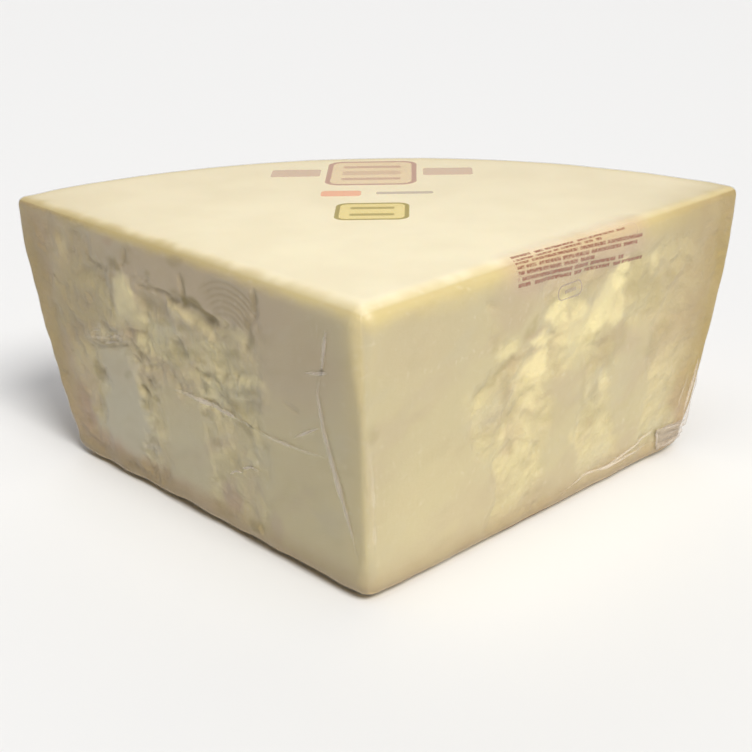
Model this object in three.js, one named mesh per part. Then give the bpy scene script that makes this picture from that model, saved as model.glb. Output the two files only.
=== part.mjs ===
// A vacuum-packed chunk of hard granular cheese: one eighth of a wheel.
// The wheel was halved level at mid height and the half cut into quarters. So the chunk has a
// pale cut top, two upright cut faces that meet in a front edge, the wheel's bulging rind behind
// and the wheel's own flat rind face underneath, which it stands on. Clear film clings to it all
// over, so film and cheese are one solid out to the film.
// Millimetres, +Z up. The origin is the middle of the foot's bounding rectangle, the front edge
// points along -Y and the rind faces +Y.

import * as THREE from "three";
import { mergeVertices } from "three/addons/utils/BufferGeometryUtils.js";

// Driving dimensions
const WHEEL_RADIUS = 220; // at mid height, which is the chunk's top
const FOOT_RADIUS = 188.5; // of the flat rind face
const CHUNK_HEIGHT = 111; // half the wheel's height
const SECTOR_ANGLE = Math.PI / 2; // a quarter turn of the wheel
const RIND_BULGE = 0.82; // how far the rind bows out of a straight taper, mostly in its upper half
const FRONT_ROUND = 8.5; // softened edges of the top at the front, under the tight film
const RIND_ROUND = 4; // the same edges at the rind
const UPRIGHT_ROUND = 3.2; // the upright edges at mid height
const FOOT_ROUND = 7; // the wheel's rounded rim and the lower edges
const UPPER_BLEND = 66; // height from which the upright edges widen to meet the top's
const LOWER_BLEND = 14; // how far above the foot's rounding they have become slim

// The two upright faces are cut near the front edge and broken from there to the rind. The line
// where the break starts wanders up and down the face, and the break lies below the cut plane.
const FRACTURE_START = 58; // mean distance of that line from the front edge
const FRACTURE_WANDER = 12;
const WANDER_SIZE = 31; // height of one swing of the line
const FRACTURE_BLEND = 16; // over which the cut turns into the break
const FRACTURE_DEPTH = 0.9;
const FRACTURE_ROUGHNESS = 1.1; // height of the lumps of the break
const LUMP_SIZE = 19; // across the largest lumps
const LUMP_OCTAVES = 3;
const RELIEF_MARGIN = 9; // the relief dies out over this distance from the edges of a face

// Flakes that have broken away. Each hollow has a steep upper lip and a long lower slope:
// along is its middle's distance from the front edge, lip the height of its upper edge.
const LEFT_HOLLOWS = [
  { along: 139, lip: 93, width: 27, drop: 34, depth: 1.6 },
  { along: 95, lip: 91, width: 34, drop: 15, depth: 2.2 },
  { along: 124, lip: 79, width: 30, drop: 20, depth: 1.8 },
  { along: 74, lip: 71, width: 34, drop: 13, depth: 1.6 },
  { along: 154, lip: 62, width: 30, drop: 13, depth: 1.4 },
  { along: 68, lip: 46, width: 22, drop: 18, depth: 1.4 },
  { along: 70, lip: 20, width: 22, drop: 16, depth: 1.4 },
];
const RIGHT_HOLLOWS = [
  { along: 131, lip: 98, width: 30, drop: 30, depth: 3.6 },
  { along: 101, lip: 92, width: 20, drop: 18, depth: 2.4 },
  { along: 90, lip: 77, width: 24, drop: 19, depth: 3.2 },
  { along: 84, lip: 61, width: 18, drop: 14, depth: 2 },
  { along: 170, lip: 78, width: 36, drop: 14, depth: 1.4 },
  { along: 77, lip: 44, width: 18, drop: 18, depth: 1.6 },
  { along: 128, lip: 56, width: 24, drop: 16, depth: 1.2 },
];
const LIP_SHARE = 0.2; // of a hollow's drop, over which it falls to its full depth

// Mesh density: cells along a cut face or half the rind, and cells up the height. The three
// cells next to each edge are narrow and carry its rounding.
const CELLS_ALONG = 32;
const CELLS_UP = 20;
const ROUNDING_CELLS = 3;

const CHEESE_COLOUR = 0xe6d9ad;

// Unit vectors along each cut face from the front edge, and out of each cut face
const halfAngle = SECTOR_ANGLE / 2;
const RIGHT = {
  along: new THREE.Vector2(Math.sin(halfAngle), Math.cos(halfAngle)),
  out: new THREE.Vector2(Math.cos(halfAngle), -Math.sin(halfAngle)),
  hollows: RIGHT_HOLLOWS,
  grain: 11.3,
};
const LEFT = {
  along: new THREE.Vector2(-Math.sin(halfAngle), Math.cos(halfAngle)),
  out: new THREE.Vector2(-Math.cos(halfAngle), -Math.sin(halfAngle)),
  hollows: LEFT_HOLLOWS,
  grain: 47.9,
};

// The wheel's radius at a height above the foot
function rindRadius(height) {
  const rise = THREE.MathUtils.clamp(height / CHUNK_HEIGHT, 0, 1);
  const bowed = rise + RIND_BULGE * rise * rise * (1 - rise);
  return THREE.MathUtils.lerp(FOOT_RADIUS, WHEEL_RADIUS, bowed);
}

// The radius of the top's softened edge at a distance from the front edge
function topRound(reach) {
  return THREE.MathUtils.lerp(FRONT_ROUND, RIND_ROUND, Math.min(reach / WHEEL_RADIUS, 1));
}

// The radius of the softened edges at a height: the top's above, the foot's below, slim between
function edgeRound(height, top) {
  const upper = THREE.MathUtils.smoothstep(height, UPPER_BLEND, CHUNK_HEIGHT - top);
  const lower = 1 - THREE.MathUtils.smoothstep(height, FOOT_ROUND, FOOT_ROUND + LOWER_BLEND);
  return UPRIGHT_ROUND + (top - UPRIGHT_ROUND) * upper + (FOOT_ROUND - UPRIGHT_ROUND) * lower;
}

// A repeatable number from 0 to 1 for a point of a whole-number lattice
function latticeValue(column, row) {
  const mixed = Math.sin(column * 127.1 + row * 311.7) * 43758.5453;
  return mixed - Math.floor(mixed);
}

// Smooth noise from -1 to 1 with features of unit size
function lumps(x, y) {
  const column = Math.floor(x);
  const row = Math.floor(y);
  const across = THREE.MathUtils.smoothstep(x - column, 0, 1);
  const up = THREE.MathUtils.smoothstep(y - row, 0, 1);
  const { lerp } = THREE.MathUtils;
  const low = lerp(latticeValue(column, row), latticeValue(column + 1, row), across);
  const high = lerp(latticeValue(column, row + 1), latticeValue(column + 1, row + 1), across);
  return 2 * lerp(low, high, up) - 1;
}

// Lumps of several sizes on top of each other
function brokenSurface(along, height, grain) {
  let sum = 0;
  let size = LUMP_SIZE;
  let share = 1;
  for (let octave = 0; octave < LUMP_OCTAVES; octave++) {
    sum += share * lumps(along / size + grain, height / size - grain);
    size /= 2;
    share /= 2;
  }
  return sum;
}

// How deep a hollow is at a point of its face: a steep lip above and a long slope below
function hollowDepth(hollow, along, height) {
  const across = (along - hollow.along) / (hollow.width / 2);
  const down = (hollow.lip - height) / hollow.drop;
  if (Math.abs(across) >= 1 || down <= 0 || down >= 1) return 0;
  const fall = THREE.MathUtils.smoothstep(down, 0, LIP_SHARE);
  const slope = 1 - THREE.MathUtils.smoothstep(down, LIP_SHARE, 1);
  return hollow.depth * fall * slope * (1 - across * across);
}

// How far a face's surface stands out of its cut plane: 0 where it was cut, below 0 where it broke
function faceRelief(face, along, height) {
  const start = FRACTURE_START + FRACTURE_WANDER * lumps(height / WANDER_SIZE, face.grain);
  const fracture = THREE.MathUtils.smoothstep(along, start, start + FRACTURE_BLEND);
  const rough = FRACTURE_ROUGHNESS * Math.min(0, brokenSurface(along, height, face.grain));
  let relief = fracture * (rough - FRACTURE_DEPTH);
  for (const hollow of face.hollows) relief -= hollowDepth(hollow, along, height);
  const nearestEdge = Math.min(along, height, CHUNK_HEIGHT - height, rindRadius(height) - along);
  return relief * THREE.MathUtils.smoothstep(nearestEdge, 0, RELIEF_MARGIN);
}

// The grid line of an evenly divided unit length, moved so that the outer cells are narrow
function gradedShare(evenShare, cells, narrowShare) {
  const line = Math.round(evenShare * cells);
  if (line <= ROUNDING_CELLS) return (line / ROUNDING_CELLS) * narrowShare;
  if (line >= cells - ROUNDING_CELLS) return 1 - ((cells - line) / ROUNDING_CELLS) * narrowShare;
  const middle = (line - ROUNDING_CELLS) / (cells - 2 * ROUNDING_CELLS);
  return THREE.MathUtils.lerp(narrowShare, 1 - narrowShare, middle);
}

// The nearest point to (x, y) of the sector drawn in by the rounding on every side
function insetPlanPoint(x, y, radius, round) {
  const plan = new THREE.Vector2(x, y);
  const apex = new THREE.Vector2(0, round / Math.sin(halfAngle));
  for (const face of [RIGHT, LEFT]) {
    const outside = plan.clone().sub(apex).dot(face.out);
    if (outside > 0) plan.addScaledVector(face.out, -outside);
  }
  if (plan.y < apex.y) plan.copy(apex);
  const reach = plan.length();
  if (reach > radius - round) plan.multiplyScalar((radius - round) / reach);
  return plan;
}

// A point of the sharp-edged sector, moved onto the sector with softened edges
function softened(point) {
  const top = topRound(Math.hypot(point.x, point.y));
  const round = edgeRound(point.z, top);
  const height = THREE.MathUtils.clamp(point.z, FOOT_ROUND, CHUNK_HEIGHT - top);
  const plan = insetPlanPoint(point.x, point.y, rindRadius(height), round);
  const core = new THREE.Vector3(plan.x, plan.y, height);
  const out = point.clone().sub(core).normalize();
  return core.addScaledVector(out, round);
}

// The unit square bent into the sector: its two near sides become the cut faces and its two far
// sides the two halves of the rind
function sectorPoint(rightShare, leftShare, height) {
  const reach = Math.max(rightShare, leftShare);
  const turn = rightShare >= leftShare
    ? (leftShare / Math.max(rightShare, 1e-9)) * halfAngle
    : SECTOR_ANGLE - (rightShare / leftShare) * halfAngle;
  const bearing = Math.PI / 2 - halfAngle + turn;
  const radius = reach * rindRadius(height);
  return new THREE.Vector3(radius * Math.cos(bearing), radius * Math.sin(bearing), height);
}

// The chunk as one closed surface: a box of cells bent into the sector, softened, then broken
function chunkGeometry() {
  const box = new THREE.BoxGeometry(1, 1, 1, CELLS_ALONG, CELLS_ALONG, CELLS_UP);
  box.deleteAttribute("normal");
  box.deleteAttribute("uv");
  const chunk = mergeVertices(box);
  const place = chunk.getAttribute("position");
  for (let i = 0; i < place.count; i++) {
    const narrowAlong = FOOT_ROUND / WHEEL_RADIUS;
    const narrowUp = FRONT_ROUND / CHUNK_HEIGHT;
    const rightShare = gradedShare(place.getX(i) + 0.5, CELLS_ALONG, narrowAlong);
    const leftShare = gradedShare(place.getY(i) + 0.5, CELLS_ALONG, narrowAlong);
    const height = CHUNK_HEIGHT * gradedShare(place.getZ(i) + 0.5, CELLS_UP, narrowUp);
    const sharp = sectorPoint(rightShare, leftShare, height);
    const point = softened(sharp);
    const face = leftShare === 0 ? RIGHT : LEFT;
    if (leftShare === 0 || rightShare === 0) {
      const relief = faceRelief(face, face.along.dot(sharp), height);
      point.x += face.out.x * relief;
      point.y += face.out.y * relief;
    }
    place.setXYZ(i, point.x, point.y, point.z);
  }
  chunk.computeBoundingBox();
  const { min, max } = chunk.boundingBox;
  chunk.translate(-(min.x + max.x) / 2, -(min.y + max.y) / 2, -min.z);
  chunk.computeVertexNormals();
  return chunk;
}

const cheese = new THREE.MeshStandardMaterial({ color: CHEESE_COLOUR, roughness: 0.4, metalness: 0 });
const chunk = new THREE.Mesh(chunkGeometry(), cheese);
chunk.name = "cheese_chunk";

const part = new THREE.Group();
part.add(chunk);

export default part;
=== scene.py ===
"""The looks of a vacuum-packed wedge of hard cheese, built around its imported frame.

Lengths are millimetres in the wedge's plan: the front edge stands on the plan's origin, +Y runs into the
wedge, heights count from the foot. Meshes are written in metres, in the frame.
"""

import logging
import math
from dataclasses import dataclass, field
from enum import Enum
from functools import reduce

import bmesh
import bpy
import numpy as np
from mathutils import Matrix, Vector, noise


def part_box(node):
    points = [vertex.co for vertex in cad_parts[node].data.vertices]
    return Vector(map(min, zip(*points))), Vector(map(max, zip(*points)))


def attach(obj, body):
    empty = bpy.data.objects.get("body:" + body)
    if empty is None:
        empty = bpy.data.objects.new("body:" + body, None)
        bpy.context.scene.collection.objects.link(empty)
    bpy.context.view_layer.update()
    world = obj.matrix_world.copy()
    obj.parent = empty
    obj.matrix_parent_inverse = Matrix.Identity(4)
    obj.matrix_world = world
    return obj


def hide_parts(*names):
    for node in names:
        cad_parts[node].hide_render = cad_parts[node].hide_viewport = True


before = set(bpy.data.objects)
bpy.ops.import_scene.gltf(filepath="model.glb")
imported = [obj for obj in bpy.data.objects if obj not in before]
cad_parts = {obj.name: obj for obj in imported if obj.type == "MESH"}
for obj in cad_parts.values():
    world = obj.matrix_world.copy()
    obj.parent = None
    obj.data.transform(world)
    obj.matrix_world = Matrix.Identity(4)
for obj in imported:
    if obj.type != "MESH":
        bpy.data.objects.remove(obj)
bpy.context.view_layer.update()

NODE = "cheese_chunk"
BODY = "root"
FRAME_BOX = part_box(NODE)
MM = 0.001
UP = np.array([0.0, 0.0, 1.0])
TINY = 1e-3
STRIDE = 12.9898
WHITE = (1.0, 1.0, 1.0, 1.0)
LOG = logging.getLogger("wedge")

Array = np.ndarray
Colour = tuple[float, float, float]
Pair = tuple[float, float]
Path = tuple[Pair, ...]
Socket = bpy.types.NodeSocket


def ease(value: Array, low: float, high: float) -> Array:
    """A smooth step of each value.

    Args:
        value: The values.
        low: Where the step is still 0.
        high: Where the step has reached 1, which is below low for a falling step.

    Returns:
        Numbers from 0 to 1.
    """
    share = np.clip((value - low) / (high - low), 0.0, 1.0)
    return share * share * (3.0 - 2.0 * share)


def mixed(share: Array, pair: Pair) -> Array:
    """A number between a pair's two at each share, which is 0 at the first and 1 at the second."""
    first, second = pair
    return first + (second - first) * share


def lumps(along: Array, height: Array, size: float, seed: float) -> Array:
    """Smooth random lumps over a face.

    Args:
        along: Distances from the front edge.
        height: Heights above the foot.
        size: How far apart the lumps are.
        seed: Picks one of many such fields.

    Returns:
        Numbers from about -1 to 1.
    """
    places = zip(along.ravel() / size, height.ravel() / size)
    values = [noise.noise((a, b, seed)) for a, b in places]
    return np.array(values).reshape(along.shape)


def layered(along: Array, height: Array, size: float, seed: float, layers: int = 4) -> Array:
    """Lumps with finer lumps on them.

    Args:
        along: Distances from the front edge.
        height: Heights above the foot.
        size: How far apart the largest lumps are.
        seed: Picks one of many such fields.
        layers: How many sizes of lumps there are.

    Returns:
        Numbers from about -1.5 to 1.5.
    """
    total = np.zeros_like(along)
    for layer in range(layers):
        total += 0.58**layer * lumps(along, height, size / 2.1**layer, seed + 5.3 * layer)
    return total


def scattered(values: Array) -> Array:
    """A share from 0 to 1 for each value, which looks random and is always the same."""
    return np.modf(np.abs(np.sin(values) * 43758.5453))[0]


def flakes(along: Array, height: Array, size: float, lean: float, seed: float) -> Array:
    """Overlapping flakes: each one comes outward on its way down and ends in a short sharp lip.

    Args:
        along: Distances from the front edge.
        height: Heights above the foot.
        size: Height of a flake.
        lean: How far the lips rise for each millimetre away from the front edge.
        seed: Picks one of many such fields.

    Returns:
        Depths from 0 to 1.
    """
    count = (lean * along - height) / size + 1.2 * layered(along, height, 2.4 * size, seed)
    layer = np.floor(count)
    share = count - layer
    chance = scattered(layer * STRIDE + seed)
    there = ease(lumps(along, height, 1.1 * size, seed + 40.0) + 0.5 * chance - 0.25, -0.1, 0.35)
    lip = 0.16
    return there * np.minimum(share / lip, (1.0 - share) / (1.0 - lip))


def grains(along: Array, height: Array, size: float, seed: float) -> tuple[Array, Array]:
    """Flat-sided grains: each cell of a random mesh is a plane with its own tilt.

    Args:
        along: Distances from the front edge.
        height: Heights above the foot.
        size: How far apart the grains are.
        seed: Picks one of many such fields.

    Returns:
        Depths from about -1 to 1, and a random share from 0 to 1 for each grain.
    """
    a, h = along.ravel() / size, height.ravel() / size
    middles = np.array([noise.voronoi((x, y, seed))[1][0][:2] for x, y in zip(a, h)])
    wild = middles @ np.array([STRIDE, 78.233])
    level, tilt, lean, tone = (scattered(wild + k) - 0.5 for k in range(4))
    depth = level + 1.5 * tilt * (a - middles[:, 0]) + 1.5 * lean * (h - middles[:, 1])
    return blurred(depth.reshape(along.shape), 2), blurred(tone.reshape(along.shape) + 0.5, 3)


def distance_to(path: Path, along: Array, height: Array) -> Array:
    """How far points are from a line.

    Args:
        path: The line's corners, each a distance from the front edge and a height.
        along: The points' distances from the front edge.
        height: Their heights above the foot.

    Returns:
        One distance for each point.
    """
    reach = np.full(along.shape, 1e6)
    for (a, h), (b, k) in zip(path, path[1:]):
        run = (b - a) ** 2 + (k - h) ** 2
        share = np.clip(((along - a) * (b - a) + (height - h) * (k - h)) / run, 0.0, 1.0)
        reach = np.minimum(reach, np.hypot(along - a - share * (b - a), height - h - share * (k - h)))
    return reach


def blurred(values: Array, passes: int) -> Array:
    """A field smoothed by repeated averaging with its four neighbours.

    Args:
        values: The field.
        passes: How many times it is averaged.

    Returns:
        The smoothed field.
    """
    for _ in range(passes):
        wide = np.pad(values, 1, mode="edge")
        around = wide[:-2, 1:-1] + wide[2:, 1:-1] + wide[1:-1, :-2] + wide[1:-1, 2:]
        values = 0.5 * values + 0.125 * around
    return values


def toward(azimuth: float, elevation: float) -> Vector:
    """The direction to something at an azimuth, right of the front, and an elevation, both in degrees."""
    round_, up = math.radians(azimuth), math.radians(elevation)
    return Vector((math.sin(round_) * math.cos(up), -math.cos(round_) * math.cos(up), math.sin(up)))


def finished(
    name: str, shell: bmesh.types.BMesh, material: bpy.types.Material, thickness: float = 0.0,
) -> bpy.types.Object:
    """Turns a bmesh into a smooth piece with its faces outward.

    Args:
        name: The piece's name.
        shell: The bmesh, which is freed.
        material: The piece's finish.
        thickness: The wall that open sheets are given, or 0 for a closed shell.

    Returns:
        The piece, at the origin.
    """
    bmesh.ops.recalc_face_normals(shell, faces=shell.faces[:])
    if thickness:
        bmesh.ops.solidify(shell, geom=shell.faces[:], thickness=thickness * MM)
    for facet in shell.faces:
        facet.smooth = True
    mesh = bpy.data.meshes.new(name)
    shell.to_mesh(mesh)
    shell.free()
    mesh.materials.append(material)
    piece = bpy.data.objects.new(name, mesh)
    bpy.context.scene.collection.objects.link(piece)
    return piece


class Side(Enum):
    """The two upright faces, as seen from the front edge."""

    LEFT = -1
    RIGHT = 1

    @property
    def along(self) -> Array:
        """The level direction from the front edge to the rind."""
        return np.array([self.value * math.sqrt(0.5), math.sqrt(0.5), 0.0])

    @property
    def out(self) -> Array:
        """The level direction out of the face."""
        return np.array([self.value * math.sqrt(0.5), -math.sqrt(0.5), 0.0])


@dataclass(frozen=True)
class Sector:
    """A quarter of a halved wheel with softened edges.

    Attributes:
        wheel_radius: Radius at the top, the wheel's mid height.
        foot_radius: Radius of the flat rind face below.
        height: Half the wheel's height.
        bulge: How far the rind bows out of a straight taper, mostly in its upper half.
        front_round: Radius of the top's edges at the front.
        rind_round: Radius of the top's edges at the rind.
        foot_round: Radius of the foot's edges.
        slim_round: Radius of the upright edges at mid height.
        cad_round: Radius of the upright front edge where it reaches furthest forward in the frame.
        widen_from: Height where the upright edges start to widen toward the top.
        widen_down: Height above the foot's edge over which they widen toward it.
    """

    wheel_radius: float = 220.0
    foot_radius: float = 188.5
    height: float = 111.0
    bulge: float = 0.82
    front_round: float = 8.5
    rind_round: float = 4.0
    foot_round: float = 7.0
    slim_round: float = 3.2
    cad_round: float = 3.2
    widen_from: float = 66.0
    widen_down: float = 14.0

    @property
    def front(self) -> float:
        """The frame's Y of the plan's origin, from the frame's own box."""
        return FRAME_BOX[0].y / MM - self.cad_round * (math.sqrt(2.0) - 1.0)

    def rind_radius(self, height: Array) -> Array:
        """The wheel's radius at each height."""
        rise = np.clip(height / self.height, 0.0, 1.0)
        bowed = rise + self.bulge * rise**2 * (1.0 - rise)
        return self.foot_radius + (self.wheel_radius - self.foot_radius) * bowed

    def edge_rounds(self, sharp: Array) -> tuple[Array, Array, Array]:
        """The radii of the softened edges.

        Args:
            sharp: Points of the sharp sector.

        Returns:
            The radius of the top's edge, of the foot's edge and of the upright edge at each point.
        """
        reach = np.clip(np.hypot(sharp[:, 0], sharp[:, 1]) / self.wheel_radius, 0.0, 1.0)
        top = self.front_round + (self.rind_round - self.front_round) * reach
        uneven = 0.35 - 0.2 * ease(sharp[:, 0], -20.0, 20.0)
        foot = self.foot_round * (1.0 + uneven * lumps(sharp[:, 0], sharp[:, 1], 17.0, 3.0))
        upper = ease(sharp[:, 2], self.widen_from, self.height - top)
        lower = ease(sharp[:, 2], foot + self.widen_down, foot)
        upright = self.slim_round + (top - self.slim_round) * upper + (foot - self.slim_round) * lower
        return top, foot, upright

    def sharp(self, share: Array, turn: Array, height: Array) -> Array:
        """Points of the sector before its edges are softened.

        Args:
            share: Distances from the front edge, as shares of the rind's radius.
            turn: Shares of the quarter turn, from the right face to the left.
            height: Heights above the foot.

        Returns:
            One row of x, y and z for each point.
        """
        radius = share * self.rind_radius(height)
        bearing = math.pi / 4 + turn * math.pi / 2
        return np.stack([radius * np.cos(bearing), radius * np.sin(bearing), height], axis=1)

    def softened(self, sharp: Array) -> tuple[Array, Array]:
        """Points moved onto the softened sector.

        Args:
            sharp: Points of the sharp sector.

        Returns:
            The points, and the direction out of the surface at each.
        """
        top, foot, round_here = self.edge_rounds(sharp)
        height = np.clip(sharp[:, 2], foot, self.height - top)
        plan = sharp[:, :2].copy()
        tip = np.stack([np.zeros_like(round_here), round_here * math.sqrt(2.0)], axis=1)
        for side in Side:
            outside = np.maximum((plan - tip) @ side.out[:2], 0.0)
            plan -= outside[:, None] * side.out[:2]
        plan = np.where((plan[:, 1] < tip[:, 1])[:, None], tip, plan)
        reach = np.hypot(plan[:, 0], plan[:, 1])
        limit = self.rind_radius(height) - round_here
        plan *= np.minimum(1.0, limit / np.maximum(reach, 1e-9))[:, None]
        core = np.column_stack([plan, height])
        out = sharp - core
        out /= np.maximum(np.linalg.norm(out, axis=1), 1e-9)[:, None]
        return core + out * round_here[:, None], out

    def wave(self, turn: Array, height: Array) -> Array:
        """How far the rind stands out unevenly at each share of the quarter turn and height."""
        arc = turn * self.wheel_radius * math.pi / 2
        near_left = 0.5 + 1.9 * ease(turn, 0.88, 1.0)
        return near_left * lumps(arc, height, 10.0, 5.0) + 1.1 * lumps(arc, height, 27.0, 8.0)

    def in_frame(self, points: Array) -> Array:
        """Plan millimetres as metres of the frame."""
        return (points + np.array([0.0, self.front, 0.0])) * MM


class Tone(Enum):
    """Kinds of stain in the paste, each with the name of the number that carries it; OLIVE and BROWN also
    carry painted shade, BUTTER also painted light on bright facets.
    """

    PINK = "pink"
    GREY = "grey"
    BUTTER = "butter"
    OLIVE = "olive"
    BROWN = "brown"


@dataclass(frozen=True)
class Stain:
    """A soft-edged oval of another tone.

    Attributes:
        along: Distance of its middle from the front edge.
        height: Height of its middle.
        wide: Its size along the face.
        tall: Its size up the face.
        strength: How strong it is, from 0 to 1.
        lean: How far it rises for each millimetre away from the front edge.
    """

    along: float
    height: float
    wide: float
    tall: float
    strength: float
    lean: float = 0.0

    def cover(self, along: Array, height: Array) -> Array:
        """How strong the stain is at each point."""
        across = (along - self.along) / (self.wide / 2)
        upward = (height - self.height - self.lean * (along - self.along)) / (self.tall / 2)
        return self.strength * ease(np.hypot(across, upward), 1.3, 0.45)


@dataclass(frozen=True)
class Patch:
    """A stain with a few corners.

    Attributes:
        strength: How strong it is, from 0 to 1.
        outline: Its corners in order, each a distance from the front edge and a height.
        soft: How far its edge fades to either side.
    """

    strength: float
    outline: Path
    soft: float = 2.0

    def cover(self, along: Array, height: Array) -> Array:
        """How strong the patch is at each point."""
        ring = (*self.outline, self.outline[0])
        inside = np.zeros(along.shape, bool)
        for (a, h), (b, k) in zip(ring, ring[1:]):
            between = (height < h) != (height < k)
            slope = (b - a) / (k - h) if k != h else 0.0
            inside ^= between & (along < a + (height - h) * slope)
        reach = distance_to(ring, along, height)
        return self.strength * ease(np.where(inside, reach, -reach), -self.soft, self.soft)


@dataclass(frozen=True)
class Plate:
    """A stretch of a face that the knife left smooth, or that broke more calmly.

    Attributes:
        along: Distance of its middle from the front edge.
        height: Height of its middle.
        width: Its size along the face.
        tall: Its size up the face.
        calm: How smooth it is, from 0 to 1.
        fade: How far its edge fades.
    """

    along: float
    height: float
    width: float
    tall: float
    calm: float = 1.0
    fade: float = 3.5

    def cover(self, along: Array, height: Array) -> Array:
        """How much of each point is on the plate, from 0 to 1."""
        across = np.abs(along - self.along) - self.width / 2
        upward = np.abs(height - self.height) - self.tall / 2
        outside = np.hypot(np.maximum(across, 0.0), np.maximum(upward, 0.0))
        distance = outside + np.minimum(np.maximum(across, upward), 0.0)
        return ease(distance, self.fade, -self.fade)


@dataclass(frozen=True)
class Groove:
    """A narrow crack in the break.

    Attributes:
        path: A few points that it runs through, each a distance from the front edge and a height.
        width: Its width to either side.
        depth: Its depth.
    """

    path: Path
    width: float
    depth: float

    def depth_at(self, along: Array, height: Array) -> Array:
        """The crack's depth at each point."""
        reach = distance_to(self.path, along, height)
        return self.depth * ease(reach, self.width, 0.0)


@dataclass(frozen=True)
class Hollow:
    """A flake that broke away: a steep drop under a lip, then a slope that runs out below it.

    With a depth below 0 it is a flake that stands out in the same way.

    Attributes:
        lip: Points of the upper edge in order, each a distance from the front edge and a height.
        drop: How far down the slope runs out.
        depth: How deep the hollow is under its lip.
        steep: How far down the steep drop reaches.
        side: How far its two ends take to reach the full depth.
    """

    lip: Path
    drop: float
    depth: float
    steep: float = 5.0
    side: float = 5.0

    def below(self, along: Array, height: Array) -> Array:
        """How far each point lies below the lip."""
        spots, levels = zip(*self.lip)
        return np.interp(along, spots, levels) - height

    def inside(self, along: Array) -> Array:
        """How far each point is between the hollow's two ends, from 0 to 1."""
        return ease(np.minimum(along - self.lip[0][0], self.lip[-1][0] - along), 0.0, self.side)

    def depth_at(self, along: Array, height: Array) -> Array:
        """The hollow's depth at each point."""
        below = self.below(along, height)
        run = np.clip(1.0 - (below - self.steep) / self.drop, 0.0, 1.0)
        return self.depth * ease(below, 0.0, self.steep) * run * self.inside(along)


@dataclass(frozen=True)
class Ripples:
    """Fine arcs that the knife's edge left on a plate.

    Attributes:
        along: Distance of their middle from the front edge.
        height: Height of their middle.
        first: Radius of the innermost arc.
        last: Radius of the outermost arc.
        pitch: Distance between arcs.
        depth: Their depth.
    """

    along: float
    height: float
    first: float
    last: float
    pitch: float
    depth: float

    def depth_at(self, along: Array, height: Array) -> Array:
        """The depth of the arcs' grooves at each point."""
        reach = np.hypot(along - self.along, height - self.height)
        bearing = np.arctan2(self.along - along, height - self.height)
        fade = 2.0
        window = ease(reach, self.first, self.first + fade) * ease(reach, self.last, self.last - fade)
        window *= ease(bearing, -0.9, -0.5) * ease(bearing, 1.0, 0.6)
        return self.depth * window * (0.5 + 0.5 * np.cos(2.0 * math.pi * reach / self.pitch))


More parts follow.
